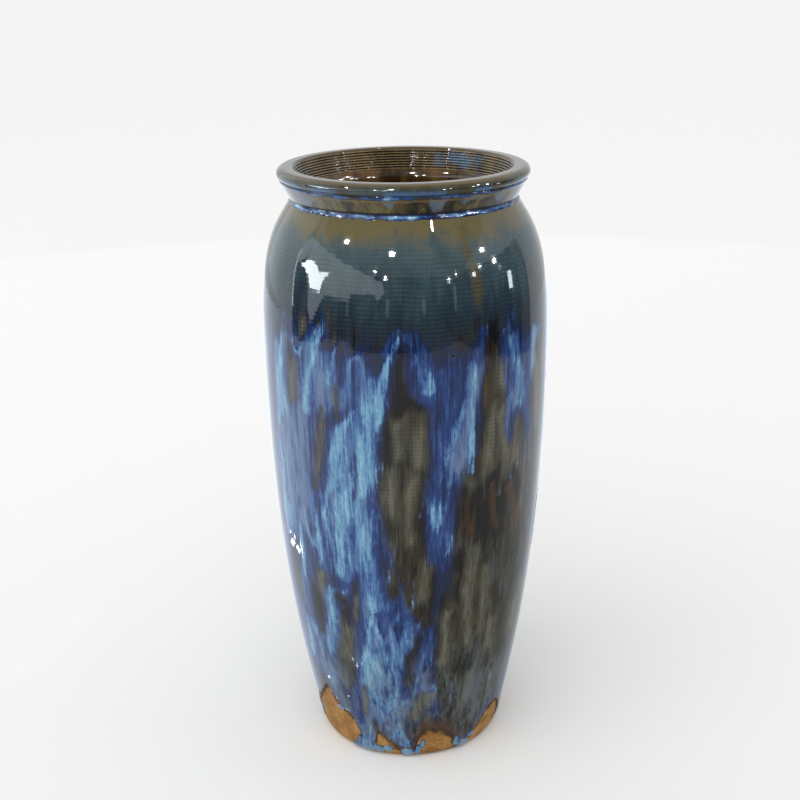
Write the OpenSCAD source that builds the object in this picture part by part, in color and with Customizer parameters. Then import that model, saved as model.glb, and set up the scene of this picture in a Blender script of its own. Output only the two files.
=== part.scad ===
// Wheel-thrown stoneware flower vase with a dripping blue glaze.
// A tall body with high shoulders, a pinched neck, a flared collar and a rolled lip.
// The clay is one thrown piece. The glass on it is in coats, laid on face to face.
// Origin: centre of the foot ring on the table. +Z is up, and -Y is the front.

/* [Body] */
// Height from the table to the top of the lip
height = 300; // [290:1:310]
// Greatest outside diameter, at the shoulder
shoulder_d = 141; // [138:0.5:144]
// Height of the greatest diameter
shoulder_z = 219; // [212:1:224]
// Diameter just above the rounded bottom edge
foot_d = 96; // [92:0.5:99]
// Thickness of the thrown clay wall
wall = 5.5; // [5:0.25:6]
// Thickness of the floor above the recess
floor_t = 8; // [6:0.5:10]

/* [Foot] */
// Radial width of the ring that stands on the table
ring_w = 8; // [6:0.5:12]
// Depth of the recess trimmed into the underside
recess = 3; // [2:0.25:4]
// Height where the outside glaze stops and the clay is bare
glaze_line = 22; // [18:1:28]

/* [Neck and lip] */
// Clay diameter at the bottom of the groove under the collar
neck_d = 108.8; // [107:0.2:110]
// Depth of that groove below the top of the lip
neck_drop = 16; // [15.5:0.25:17]
// Outside diameter of the rolled lip
lip_d = 121.6; // [121:0.1:122.2]
// Diameter of the mouth at the inner edge of the lip
mouth_d = 105.6; // [105:0.1:106]
// Number of fine ribs turned in the throat
rib_count = 8; // [4:1:10]
// Height of each rib above the valley beside it
rib_h = 0.4; // [0.2:0.05:0.5]

/* [Glaze] */
// Thickness of the glaze over the clay, outside and inside
coat = 0.7; // [0.6:0.05:0.8]
// Thickness of the second coat, dipped over the shoulder
dip_t = 0.35; // [0.25:0.05:0.45]
// Height where the second coat ends
dip_z = 236; // [232:1:244]
// How far the blue runs stand out from the glaze under them
run_t = 0.35; // [0.25:0.05:0.5]
// How far the glass pooled in the neck groove stands out
pool_t = 0.9; // [0.6:0.1:1.2]
// How far the drops over the bare foot stand out from the clay
drop_t = 1.1; // [0.9:0.1:1.4]

/* [Hidden] */
$fn = 96;

shoulder_r = shoulder_d / 2 - coat;
foot_r = foot_d / 2;
neck_r = neck_d / 2;
neck_z = height - neck_drop;
mouth_r = mouth_d / 2;
edge_h = 6; // height of the rounded bottom edge
floor_z = recess + floor_t;
floor_bend = 16; // height over which the inner wall turns into the floor
roll_centre = [lip_d / 2 - 3.6, height - 3]; // centre of the rolled lip's section
mouth_edge = 1; // radius of the glazed inner edge of the lip
throat_h = 11.4; // depth of the ribbed throat
rib_steps = 6; // points along one rib
far_out = shoulder_d; // beyond every surface

// One glaze run a row: angle round from the front, top, tip, width at the tip.
runs = [
    [-84, 240, 150, 10], [-72, 241, 196, 8], [-58, 241, 178, 9], [-46, 240, 116, 8],
    [-36, 240, 190, 9], [-25, 238, 108, 12], [-12, 240, 150, 13], [-14, 138, 26, 8],
    [-3, 118, 44, 6], [7, 241, 204, 8], [16, 239, 117, 7], [24, 238, 165, 8],
    [33, 196, 152, 5], [42, 200, 160, 5], [48, 241, 213, 7], [60, 240, 172, 9],
    [71, 241, 206, 7], [81, 240, 138, 10], [94, 239, 184, 8], [106, 241, 98, 11],
    [119, 240, 162, 8], [130, 238, 210, 7], [141, 240, 122, 10], [153, 241, 176, 8],
    [165, 239, 84, 11], [178, 240, 156, 9], [190, 241, 200, 7], [202, 238, 110, 11],
    [214, 240, 168, 8], [226, 241, 134, 9], [238, 239, 192, 8], [251, 240, 104, 11],
    [263, 241, 174, 8], [-36, 104, 60, 8], [112, 84, 40, 8], [208, 92, 50, 8]
];

// One drop a row: angle round from the front, tip, width. They hang from the glaze line.
drops = [
    [-96, 9, 12], [-78, 12, 9], [-58, 13, 12], [-43, 9, 9], [-28, 4, 11], [-14, 12, 8],
    [-1, 4, 10], [11, 14, 6], [20, 9, 7], [33, 4, 11], [48, 13, 9], [63, 9, 12],
    [79, 5, 10], [95, 12, 9], [112, 4, 12], [128, 10, 9], [144, 13, 8], [160, 5, 11],
    [176, 11, 10], [193, 4, 12], [209, 12, 8], [226, 7, 11], [244, 11, 10]
];

// An outline is a list of pairs: a point, and the direction that points out of the clay
// there. A coat of any thickness can then be laid along it.
function unit(v) = v / norm(v);
function right_of(way) = unit([way.y, -way.x]);
function reversed(list) = [for (i = [len(list) - 1:-1:0]) list[i]];
function after_first(list) = [for (i = [1:len(list) - 1]) list[i]];
function ease(a, b, c, d, t) =
    pow(1 - t, 3) * a + 3 * pow(1 - t, 2) * t * b + 3 * (1 - t) * t * t * c + pow(t, 3) * d;
function heading(a, b, c, d, t) =
    pow(1 - t, 2) * (b - a) + 2 * (1 - t) * t * (c - b) + t * t * (d - c);

// A curve from a to d that leaves towards b and arrives from c.
function curve(a, b, c, d, steps) = [
    for (i = [0:steps])
        let (t = i / steps)
        [ease(a, b, c, d, t), right_of(heading(a, b, c, d, t))]
];

// Part of an ellipse, from one angle to another.
function bend(centre, radii, from, to, steps) = [
    for (i = [0:steps])
        let (q = from + (to - from) * i / steps)
        [
            centre + [radii.x * cos(q), radii.y * sin(q)],
            unit([radii.y * cos(q), radii.x * sin(q)])
        ]
];

// The points at one depth over an outline, and at a depth that swells outwards in its middle.
function over(outline, depth) = [for (p = outline) p[0] + depth * p[1]];
function swelling(outline, depth, rise) = [
    for (i = [1:len(outline) - 2])
        outline[i][0] + depth * outline[i][1] + [rise * sin(180 * i / (len(outline) - 1)), 0]
];

// The outside of the clay, from the table up to the crest of the lip.
bottom_edge = curve(
    [foot_r - 4.4, 0], [foot_r - 2, 0], [foot_r - 0.6, 3], [foot_r, edge_h], 6
);
lower_wall = curve(
    [foot_r, edge_h],
    [foot_r + 6.4, edge_h + 32],
    [shoulder_r, shoulder_z - 120],
    [shoulder_r, shoulder_z],
    28
);
upper_wall = curve(
    [shoulder_r, shoulder_z],
    [shoulder_r, shoulder_z + 46],
    [neck_r + 6.8, neck_z - 11.2],
    [neck_r, neck_z],
    20
);
groove = curve(
    [neck_r, neck_z],
    [neck_r - 0.5, neck_z + 0.8],
    [neck_r - 0.3, neck_z + 1.6],
    [neck_r + 0.5, neck_z + 2.4],
    6
);
collar = curve(
    [neck_r + 0.5, neck_z + 2.4],
    [neck_r + 1.6, neck_z + 4.4],
    [neck_r + 3.2, neck_z + 7.5],
    [neck_r + 4.4, neck_z + 10],
    6
);
roll = bend(roll_centre, [3.6 - coat, 3 - coat], -60, 90, 12);
walls = concat(lower_wall, after_first(upper_wall));
rim = concat(groove, after_first(collar), roll);
outside = concat(walls, after_first(rim));

// The stretches of wall that the coats cover.
glazed_wall = [for (p = walls) if (p[0].y >= glaze_line) p];
bare_wall = [
    for (p = concat(bottom_edge, after_first(walls)))
        if (p[0].y > 1 && p[0].y <= glazed_wall[0][0].y) p
];
dipped_wall = [for (p = walls) if (p[0].y >= dip_z) p];
plain_wall = [for (p = walls) if (p[0].y >= glaze_line && p[0].y <= dipped_wall[0][0].y) p];

// The inside of the clay, from the inner edge of the lip down to the middle of the floor.
inner_edge = bend(
    [mouth_r + mouth_edge, height - mouth_edge],
    [mouth_edge - coat, mouth_edge - coat],
    90,
    180,
    4
);
throat_top = [mouth_r + coat, height - mouth_edge];
throat_end = [mouth_r + coat - 2.2, height - throat_h];
throat_way = right_of(throat_end - throat_top);
throat = [
    for (i = [1:rib_count * rib_steps])
        let (t = i / (rib_count * rib_steps))
        [
            throat_top + t * (throat_end - throat_top)
                + throat_way * rib_h * (1 - cos(360 * rib_count * t)) / 2,
            throat_way
        ]
];
inner_wall = [
    for (p = reversed(walls))
        if (p[0].y > floor_z + floor_bend)
            [p[0] - wall * p[1], -p[1]]
];
wall_top = inner_wall[0][0];
wall_end = inner_wall[len(inner_wall) - 1][0];
ledge = curve(
    throat_end,
    [throat_end.x - 1.9, throat_end.y - 0.2],
    [wall_top.x - 0.9, wall_top.y + 1.5],
    wall_top,
    8
);
floor_corner = curve(
    wall_end,
    wall_end - [2, 8],
    [wall_end.x - 6, floor_z],
    [wall_end.x - 16, floor_z],
    10
);
floor_middle = [[[0, floor_z], [0, 1]]];
inside = concat(
    inner_edge,
    throat,
    after_first(ledge),
    after_first(inner_wall),
    after_first(floor_corner),
    floor_middle
);

// The underside, from the middle of the recess out to the foot ring.
ring_in = foot_r - 4.4 - ring_w;
underside = [[0, recess], [ring_in - recess, recess], [ring_in, 0]];

// A coat between two depths over an outline, turned round the axis.
module coat_of(outline, low, high) {
    rotate_extrude()
        polygon(concat(over(outline, low), reversed(over(outline, high))));
}

// A ring of glass that lies on an outline and swells in its middle.
module pooled(outline, depth, rise) {
    rotate_extrude()
        polygon(concat(over(outline, depth), reversed(swelling(outline, depth, rise))));
}

// The flat outline of a run: narrow at the top, with a round tip.
module tongue(top, tip, width) {
    r = width / 2;
    polygon(concat(
        [[0.7 * r, top], [-0.7 * r, top]],
        [for (q = [180:30:360]) [r * cos(q), tip + r + r * sin(q)]]
    ));
}

// What is left of a coat behind a tongue that faces one way from the axis.
module run_in(angle, top, tip, width) {
    intersection() {
        children();
        rotate([0, 0, angle])
            rotate([90, 0, 0])
            linear_extrude(far_out)
            tongue(top, tip, width);
    }
}

module stoneware_body() {
    color("#a5763f")
        rotate_extrude()
        polygon(concat(
            underside,
            over(bottom_edge, 0),
            over(after_first(outside), 0),
            over(inside, 0)
        ));
}

module liner_glaze() {
    color("#3f2a14")
        coat_of(inside, 0, coat);
}

module base_glaze() {
    color("#45402c")
        rotate_extrude()
        polygon(concat(
            over(glazed_wall, 0),
            over(after_first(rim), 0),
            [inner_edge[0][0], inner_edge[0][0] + [0, coat]],
            reversed(over(rim, coat)),
            reversed(over(dipped_wall, coat - dip_t)),
            reversed(over(plain_wall, coat))
        ));
}

module shoulder_glaze() {
    color("#3c4f5b")
        coat_of(dipped_wall, coat - dip_t, coat);
}

module lip_glaze_bead() {
    color("#4a76ab")
        pooled([for (i = [0:5]) roll[i]], coat, 0.35);
}

module neck_glaze_bead() {
    color("#5b93cf")
        pooled(concat([upper_wall[19]], groove, [collar[1]]), coat, pool_t);
}

module blue_glaze_runs() {
    color("#3f6fae")
        for (r = runs)
            run_in(r[0], r[1], r[2], r[3])
                coat_of(glazed_wall, coat, coat + run_t);
}

module foot_glaze_drops() {
    color("#6fa6c4")
        for (d = drops)
            run_in(d[0], glaze_line + 1, d[1], d[2])
                coat_of(bare_wall, 0, drop_t);
}

stoneware_body();
liner_glaze();
base_glaze();
shoulder_glaze();
lip_glaze_bead();
neck_glaze_bead();
blue_glaze_runs();
foot_glaze_drops();
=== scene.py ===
import math

import bpy
import numpy as np
from mathutils import Matrix, Vector


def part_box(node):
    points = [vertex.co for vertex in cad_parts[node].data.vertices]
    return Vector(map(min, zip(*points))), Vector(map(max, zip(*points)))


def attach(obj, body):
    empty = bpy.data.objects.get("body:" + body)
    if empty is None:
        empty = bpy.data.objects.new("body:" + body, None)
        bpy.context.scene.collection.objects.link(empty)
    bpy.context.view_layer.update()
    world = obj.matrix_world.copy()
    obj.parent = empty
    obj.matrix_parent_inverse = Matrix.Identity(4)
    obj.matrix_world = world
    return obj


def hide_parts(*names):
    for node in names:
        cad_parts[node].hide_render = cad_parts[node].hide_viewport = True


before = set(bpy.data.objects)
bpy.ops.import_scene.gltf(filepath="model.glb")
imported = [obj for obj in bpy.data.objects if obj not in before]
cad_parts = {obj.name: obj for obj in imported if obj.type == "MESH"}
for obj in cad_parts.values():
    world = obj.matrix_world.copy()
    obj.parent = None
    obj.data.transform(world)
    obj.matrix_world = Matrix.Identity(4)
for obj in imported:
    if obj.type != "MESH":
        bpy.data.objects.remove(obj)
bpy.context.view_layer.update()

# ---------------------------------------------------------------- sizes, in millimetres
MM = 0.001


def box_mm(node):
    low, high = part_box(node)
    return [v / MM for v in low], [v / MM for v in high]


COAT = 0.7                       # glass over the clay
DIP = 0.35                       # second coat over the shoulder
HEIGHT = box_mm("base_glaze")[1][2]
SHOULDER_R = box_mm("base_glaze")[1][0] - COAT
SHOULDER_Z = 219
FOOT_R = 48
EDGE_H = 6                       # rounded bottom edge
EDGE_IN = 4.4                    # from the foot's side in to the ring it stands on
NECK_R = 54.4
NECK_Z = HEIGHT - 16
LIP_R = 60.8
ROLL_W, ROLL_H = 3.6, 3          # half width and half height of the rolled lip
MOUTH_R = 52.8
MOUTH_EDGE = 1                   # radius of the lip's inner edge
THROAT_H = 11.4                  # depth of the ribbed throat
THROAT_IN = 2.2                  # how much narrower it gets on the way down
RIBS, RIB_H = 8, 0.4
WALL = 5.5
FLOOR_Z = 11
RECESS = 3
RING_W = 8
DIP_Z = 236                      # lower edge of the second coat
RUN_H = 0.26                     # how far a blue run stands above the coat
DROP_H = 0.85                    # and a foot drop above the clay
RING_PITCH = 2.0                 # turning rings on the outside
COLUMNS = 360                    # steps round the pot
MEAN_R = 66                      # where the cells of the noise have their stated size
MM_PER_DEGREE = 1.2              # near enough, for the lean of a stroke
BACK_FROM, BACK_SPAN = 76, 206   # degrees of the far side that get seeded strokes


# ---------------------------------------------------------------- outlines
def bezier(a, b, c, d, steps=60):
    """Points and outward directions of a curve from a to d, walked with the clay on its left."""
    a, b, c, d = (np.array(p, float) for p in (a, b, c, d))
    t = np.linspace(0, 1, steps + 1)[:, None]
    s = 1 - t
    points = s**3 * a + 3 * s * s * t * b + 3 * s * t * t * c + t**3 * d
    way = s * s * (b - a) + 2 * s * t * (c - b) + t * t * (d - c)
    return points, outward(way)


def outward(way):
    side = np.stack([way[:, 1], -way[:, 0]], 1)
    return side / np.linalg.norm(side, axis=1)[:, None]


def ellipse(centre, radii, start, end, steps=60):
    q = np.radians(np.linspace(start, end, steps + 1))
    points = np.stack([centre[0] + radii[0] * np.cos(q), centre[1] + radii[1] * np.sin(q)], 1)
    side = np.stack([radii[1] * np.cos(q), radii[0] * np.sin(q)], 1)
    return points, side / np.linalg.norm(side, axis=1)[:, None]


class Outline:
    """A walk along the clay's surface, read by the distance walked."""

    def __init__(self, *parts):
        points = np.concatenate([p for p, _ in parts])
        sides = np.concatenate([s for _, s in parts])
        step = np.linalg.norm(np.diff(points, axis=0), axis=1)
        keep = np.concatenate([[True], step > 1e-6])
        self.points, self.sides = points[keep], sides[keep]
        step = np.linalg.norm(np.diff(self.points, axis=0), axis=1)
        self.walked = np.concatenate([[0], np.cumsum(step)])
        self.length = self.walked[-1]

    def at(self, s):
        """Radius, height and outward direction at each distance."""
        read = [np.interp(s, self.walked, column) for column in (*self.points.T, *self.sides.T)]
        size = np.hypot(read[2], read[3])
        return read[0], read[1], read[2] / size, read[3] / size

    def where(self, z):
        """Distance walked when the height is first z, on a part that only climbs."""
        return float(np.interp(z, self.points[:, 1], self.walked))


FOOT_EDGE = bezier((FOOT_R - EDGE_IN, 0), (FOOT_R - 2, 0), (FOOT_R - 0.6, 3), (FOOT_R, EDGE_H))
LOWER = bezier((FOOT_R, EDGE_H), (FOOT_R + 6.4, EDGE_H + 32),
               (SHOULDER_R, SHOULDER_Z - 120), (SHOULDER_R, SHOULDER_Z), 200)
UPPER = bezier((SHOULDER_R, SHOULDER_Z), (SHOULDER_R, SHOULDER_Z + 46),
               (NECK_R + 6.8, NECK_Z - 11.2), (NECK_R, NECK_Z), 120)
GROOVE = bezier((NECK_R, NECK_Z), (NECK_R - 0.5, NECK_Z + 0.8),
                (NECK_R - 0.3, NECK_Z + 1.6), (NECK_R + 0.5, NECK_Z + 2.4))
COLLAR = bezier((NECK_R + 0.5, NECK_Z + 2.4), (NECK_R + 1.6, NECK_Z + 4.4),
                (NECK_R + 3.2, NECK_Z + 7.5), (NECK_R + 4.4, NECK_Z + 10))
ROLL = ellipse((LIP_R - ROLL_W, HEIGHT - ROLL_H), (ROLL_W - COAT, ROLL_H - COAT), -60, 90)
INNER_EDGE = ellipse((MOUTH_R + MOUTH_EDGE, HEIGHT - MOUTH_EDGE),
                     (MOUTH_EDGE - COAT, MOUTH_EDGE - COAT), 90, 180)
WALLS = Outline(LOWER, UPPER)
OUTSIDE = Outline(FOOT_EDGE, LOWER, UPPER, GROOVE, COLLAR, ROLL)


def inner_parts():
    """The inside of the clay from the mouth to the middle of the floor, without ribs."""
    top = np.array([MOUTH_R + COAT, HEIGHT - MOUTH_EDGE])
    end = np.array([MOUTH_R + COAT - THROAT_IN, HEIGHT - THROAT_H])
    throat = bezier(top, top + (end - top) / 3, top + (end - top) * 2 / 3, end)
    r, z, nr, nz = WALLS.at(np.linspace(WALLS.length, 0, 400))
    points = np.stack([r - WALL * nr, z - WALL * nz], 1)
    keep = points[:, 1] > FLOOR_Z + 13
    wall = points[keep], -np.stack([nr, nz], 1)[keep]
    start, stop = wall[0][0], wall[0][-1]
    ledge = bezier(end, end - (1.9, 0.2), start + (-0.9, 1.5), start)
    corner = bezier(stop, stop - (2, 8), (stop[0] - 6, FLOOR_Z), (stop[0] - 16, FLOOR_Z))
    floor = (np.array([(stop[0] - 16, FLOOR_Z), (0.05, FLOOR_Z)]), np.array([(0, 1), (0, 1.0)]))
    return throat, ledge, wall, corner, floor


CREST = (np.array([(LIP_R - ROLL_W, HEIGHT - COAT), (MOUTH_R + MOUTH_EDGE, HEIGHT - COAT)]),
         np.array([(0, 1), (0, 1.0)]))
INSIDE = Outline(CREST, INNER_EDGE, *inner_parts())


def stations(start, end, spacing):
    """Distances from start to end, with a spacing that may change on the way."""
    found, s = [start], start
    while s < end - 1e-6:
        s = min(end, s + spacing(s))
        found.append(s)
    return np.array(found)


# ---------------------------------------------------------------- noise
def lattice(seed):
    return np.random.RandomState(seed).rand(32, 32, 32)


LATTICES = [lattice(100 + i) for i in range(6)]


def noise(points, seed=0):
    """Smooth value noise from 0 to 1 at points of any shape (..., 3)."""
    table = LATTICES[seed % len(LATTICES)]
    cell = np.floor(points).astype(int)
    f = points - cell
    f = f * f * (3 - 2 * f)
    total = 0
    for corner in range(8):
        step = np.array([corner & 1, corner >> 1 & 1, corner >> 2 & 1])
        weight = np.prod(np.where(step, f, 1 - f), axis=-1)
        i, j, k = np.moveaxis((cell + step) % 32, -1, 0)
        total = total + weight * table[i, j, k]
    return total


def round_noise(angle, z, size, stretch=1.0, seed=0, octaves=2):
    """Noise on the pot's surface, in cells of size mm that are stretch times as tall."""
    r = MEAN_R / size
    a = np.radians(angle)
    points = np.stack([r * np.sin(a), -r * np.cos(a), z / size / stretch], -1) + 40
    total, weight = 0, 1
    for octave in range(octaves):
        total = total + weight * noise(points * 2**octave, seed + octave)
        weight *= 0.5
    return total / (2 - 2 * weight)


def smooth(low, high, x):
    t = np.clip((x - low) / (high - low), 0, 1)
    return t * t * (3 - 2 * t)


# ---------------------------------------------------------------- where the glaze went
# A stroke is a list of (angle round from the front, height, half width in mm). These were
# read from the photograph and laid out by angle and height.
WINDOWS = [
    # places that the blue slid off: the brown base shows
    [(-1.6, 227, 0.6), (-2.4, 215, 2.4), (-2, 205, 6), (-0.5, 194, 11), (-1, 176, 12), (-2.5, 160, 11.5),
     (-2.5, 146, 10.5), (-1, 130, 10), (1.5, 115, 9), (4, 98, 6), (5.5, 85, 3)],
    [(35, 236, 1.5), (34.5, 222, 5), (35, 205, 7.4), (35.5, 190, 7.2), (36, 176, 8.5), (37, 165, 12)],
    [(50, 182, 5), (49, 166, 9)],
    [(39, 156, 23), (40, 130, 25), (40, 100, 25), (38, 70, 26), (35, 50, 21), (33, 32, 16), (32, 21, 12)],
    [(-41.5, 240, 2.6), (-42, 231, 3)],
    [(-51, 223, 1.8), (-49, 212, 4.6), (-49.5, 199, 4)],
    [(-34, 196, 1), (-36, 182, 2.2), (-38, 168, 2.4), (-40, 154, 1.4)],
    [(-29, 244, 2), (-28, 228, 2.6)],
    [(-27, 207, 2), (-27, 193, 2)],
    [(-43, 112, 2), (-41, 105, 5.4), (-44, 98, 4)],
    [(-46, 95, 4), (-46, 84, 4), (-46, 72, 2.6)],
    [(-31, 95, 4), (-29, 84, 4), (-30, 72, 5), (-32, 58, 6), (-34, 44, 4)],
    [(-23, 107, 2), (-24, 95, 2.4), (-26.5, 80, 2)],
    [(16, 102, 3), (15.5, 84, 3.4), (15.5, 68, 4), (15.5, 52, 3)],
    [(8, 118, 4), (8, 102, 4), (9, 90, 2.6)],
    [(-60, 114, 3), (-60, 98, 4), (-59, 88, 3)],
    [(-7, 118, 2.6), (-7, 102, 3.6)],
    [(3, 76, 2), (1, 64, 3.6), (-1.5, 52, 2.6)],
    [(-23.5, 43, 2.6), (-24.5, 29, 2.6)],
    [(11, 42, 3), (6, 38, 5), (3, 32, 5), (1.5, 25, 3)],
    [(4, 16, 2.4), (8, 24, 3.4), (14, 24, 3), (20, 22, 2.4)],
    [(-5, 21, 1.6), (-1.6, 13, 3)],
    [(-19.4, 26, 1), (-19.2, 18, 1.6), (-17, 10, 2)],
    [(22, 20, 1.6), (27, 14, 1.4)],
    [(62, 205, 5), (64, 180, 6)],
    [(66, 218, 7), (67, 190, 9), (67, 150, 12), (66, 90, 13), (62, 50, 10), (56, 36, 6)],
]
DARKS = [
    # brown-black glass
    [(-2, 225, 2.4), (-4, 208, 4.4), (-1, 200, 4.6)],
    [(-8.6, 195, 1.8), (-8.6, 178, 2.4), (-10, 160, 1.6)],
    [(2, 204, 3), (6, 200, 3.4), (8.6, 190, 1.4)],
    [(5, 142, 4), (7, 136, 3)],
    [(35, 242, 2), (35.6, 226, 2.6)],
    [(30.4, 216, 1.4), (29.6, 198, 1.6), (29.4, 180, 1.2)],
    [(21.5, 158, 2.4), (27, 152, 4), (33, 155, 3.6), (36.5, 163, 2.4), (40, 156, 3.4), (46, 158, 3.4),
     (51, 154, 3)],
    [(24, 144, 6), (34, 138, 8), (46, 148, 6)],
    [(21, 120, 4), (20, 96, 3)],
    [(-51, 222, 1.6), (-52.4, 206, 1.4)],
    [(-31, 93, 4.4), (-28, 84, 3)],
    [(-47.6, 95, 2.4), (-46, 84, 3.4), (-47, 70, 3)],
    [(3, 78, 2.6), (3, 66, 3.4), (-1, 56, 3)],
    [(31, 62, 1.6), (30, 54, 2.4)],
    [(13, 112, 4), (12, 96, 3.4)],
]
RUSTS = [
    # iron-red burns
    [(34, 224, 2.6), (35, 219, 2)],
    [(27, 280, 2.4), (25.6, 270, 3.4), (28, 258, 3), (28.6, 244, 2.4)],
    [(-43, 280, 1.6), (-42, 274, 1)],
    [(32.6, 212, 2.4), (33, 198, 2.6)],
    [(24, 150, 2.4), (25.4, 138, 3)],
    [(36, 156, 2), (36.6, 144, 3.4), (39, 134, 3)],
    [(45, 152, 3), (54, 132, 5)],
    [(-35, 192, 2), (-35, 184, 2)],
    [(7, 19, 3), (12, 24, 3)],
    [(-4, 20, 3), (0, 13, 2.4)],
    [(22, 19, 2.6), (27, 11, 2)],
    [(-37, 18, 2), (-33, 12, 1.8)],
    [(-20, 22, 2), (-18, 12, 2.6), (-10, 9, 2)],
]
TANS = [
    # lighter khaki glass
    [(-49, 211, 3.4), (-49, 199, 3)],
    [(-42, 238, 2.4), (-42, 232, 2.4)],
    [(5.6, 195, 3.2), (5.4, 174, 3.2)],
    [(-3, 192, 4), (-3, 178, 3)],
    [(-7, 168, 3.6), (-6, 148, 4.6)],
    [(2, 166, 3), (0, 150, 3), (0.5, 130, 2.4)],
    [(-35, 190, 3), (-37, 176, 5), (-41, 162, 4)],
    [(39, 214, 3.4), (38.6, 204, 3)],
    [(35, 196, 2.6), (34, 168, 3.4)],
    [(32, 168, 1.6), (32, 154, 1)],
    [(41, 172, 2), (40.4, 152, 1.2)],
    [(25, 160, 2.4), (24.6, 152, 1)],
    [(21, 178, 1.4), (20.6, 164, 1.6)],
    [(45, 186, 5), (48, 166, 6)],
    [(39, 192, 3), (41, 174, 4), (43, 160, 3)],
    [(56, 170, 4), (55, 140, 3)],
    [(28, 124, 3), (26, 100, 3), (27, 70, 3)],
    [(35, 112, 3.4), (36, 92, 3), (35, 74, 3)],
    [(20, 112, 2), (19, 92, 2)],
    [(41, 80, 3), (41, 60, 3)],
    [(32, 50, 3), (31, 30, 3)],
    [(47, 42, 3), (48, 28, 3)],
    [(17, 92, 2), (17, 76, 2.4), (16.6, 60, 3)],
    [(7.6, 124, 2.4), (6.6, 104, 3)],
    [(-41, 108, 3.6), (-42, 99, 3.4)],
    [(-29.6, 80, 2.2), (-31, 64, 4)],
    [(-24, 98, 1.6), (-25, 86, 1.6)],
    [(-24, 42, 2), (-24.6, 30, 2.4)],
    [(9.6, 42, 4), (4, 34, 6), (1.6, 26, 4)],
    [(62, 90, 6), (60, 70, 6)],
    [(62, 205, 4), (64, 180, 5)],
]
WASHES = [
    # broad milky blue
    [(-50, 224, 5), (-50, 190, 8), (-51, 160, 9), (-49, 130, 8)],
    [(-20, 221, 3), (-19, 212, 6), (-22, 204, 5)],
    [(-33, 222, 5), (-33, 200, 7), (-24, 205, 5)],
    [(-21, 150, 6), (-18, 122, 4)],
    [(-56, 100, 5), (-58, 60, 7), (-50, 45, 6)],
    [(-30, 70, 6), (-26, 50, 6), (-22, 30, 6)],
    [(-13, 214, 3), (-15, 196, 6), (-20, 176, 10), (-27, 150, 13), (-29, 126, 11), (-27, 112, 5)],
    [(-57, 222, 5), (-58, 190, 6), (-60, 160, 7), (-60, 132, 6)],
    [(-45, 158, 3), (-45, 140, 6), (-44, 122, 4)],
    [(-51.6, 130, 2.6), (-52, 106, 3)],
    [(-37, 232, 3), (-40, 212, 4), (-41.6, 194, 3)],
    [(-18, 140, 4), (-16.6, 110, 4.6), (-17, 84, 8), (-17, 62, 9), (-13, 40, 8), (-12, 24, 5), (-4, 8, 3)],
    [(-37, 96, 3), (-40, 74, 4), (-42, 64, 4)],
    [(-55, 74, 6), (-53, 58, 6)],
    [(-4, 88, 4), (-6, 70, 6), (-7, 50, 4)],
    [(1.6, 110, 2), (2, 98, 2.4)],
    [(25, 214, 3), (24, 192, 4.4), (20, 176, 4), (16, 162, 3)],
    [(44, 226, 2.6), (48, 210, 3.6), (49, 194, 4.4)],
    [(60, 226, 4), (60, 206, 3.4)],
    [(12, 152, 3.6), (11.6, 142, 3)],
    [(17, 132, 2), (15, 122, 3)],
    [(6, 222, 3.4), (9, 208, 3.6)],
    [(8, 48, 3), (0, 38, 2.6), (-5, 28, 2.4)],
    [(22, 44, 2), (23.6, 30, 2.4)],
    [(38.6, 36, 2), (39, 20, 2.4)],
    [(-28, 24, 4), (-28, 8, 5)],
    [(-10, 10, 3), (-1, 3, 2)],
]
COBALTS = [
    # deep blue
    [(-8, 227, 2.6), (-3, 234, 3), (4, 232, 3.4), (8, 222, 4)],
    [(11, 216, 5), (13, 194, 5), (13.4, 172, 4), (13, 154, 4), (15, 136, 4.6), (14.5, 120, 4)],
    [(-54, 238, 3), (-49, 233, 4), (-45, 230, 3)],
    [(-37.6, 240, 2.4), (-39, 230, 2)],
    [(-34, 240, 2), (-30, 232, 2)],
    [(18, 214, 3), (19, 198, 2.6)],
    [(45, 238, 3), (42.6, 230, 2.4)],
    [(29.6, 234, 2), (28.6, 224, 1.4)],
    [(-51, 101, 4), (-51.6, 88, 3), (-55, 80, 3)],
    [(-36, 118, 2), (-32, 108.5, 2.8), (-26, 104, 3), (-22.6, 112, 2)],
    [(-46, 119, 2), (-40, 113.5, 2.6)],
    [(-23.6, 92, 2), (-22, 80, 4), (-24, 66, 3)],
    [(-13, 92, 3), (-12, 80, 2.6)],
    [(-4, 84, 4), (-1, 90, 3)],
    [(10, 86, 2.6), (8.4, 72, 3.6), (6.4, 58, 3), (3, 50, 2)],
    [(3, 120, 1.6), (2, 104, 3)],
    [(-12.6, 148, 1.6), (-10, 132, 2.2)],
    [(-43, 88, 3), (-43.6, 78, 2.6)],
    [(-40, 56, 2), (-38, 48, 2)],
    [(-29, 60, 2.4), (-28.6, 40, 2.6), (-30, 24, 4), (-27, 14, 3)],
    [(-19, 216, 4), (-20.6, 204, 3), (-21.6, 196, 1.6)],
    [(-20.4, 175, 1.4), (-21, 160, 1.6), (-21.4, 152, 1)],
    [(-33, 140, 1.2), (-31.6, 126, 1.4)],
    [(-9, 60, 2), (-10, 40, 2)],
    [(31, 20, 3), (33, 12, 4), (40, 9, 4)],
    [(5.6, 14, 1.6), (2, 8, 2)],
    [(-16, 22, 1.6), (-13, 14, 1.6)],
]
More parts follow.
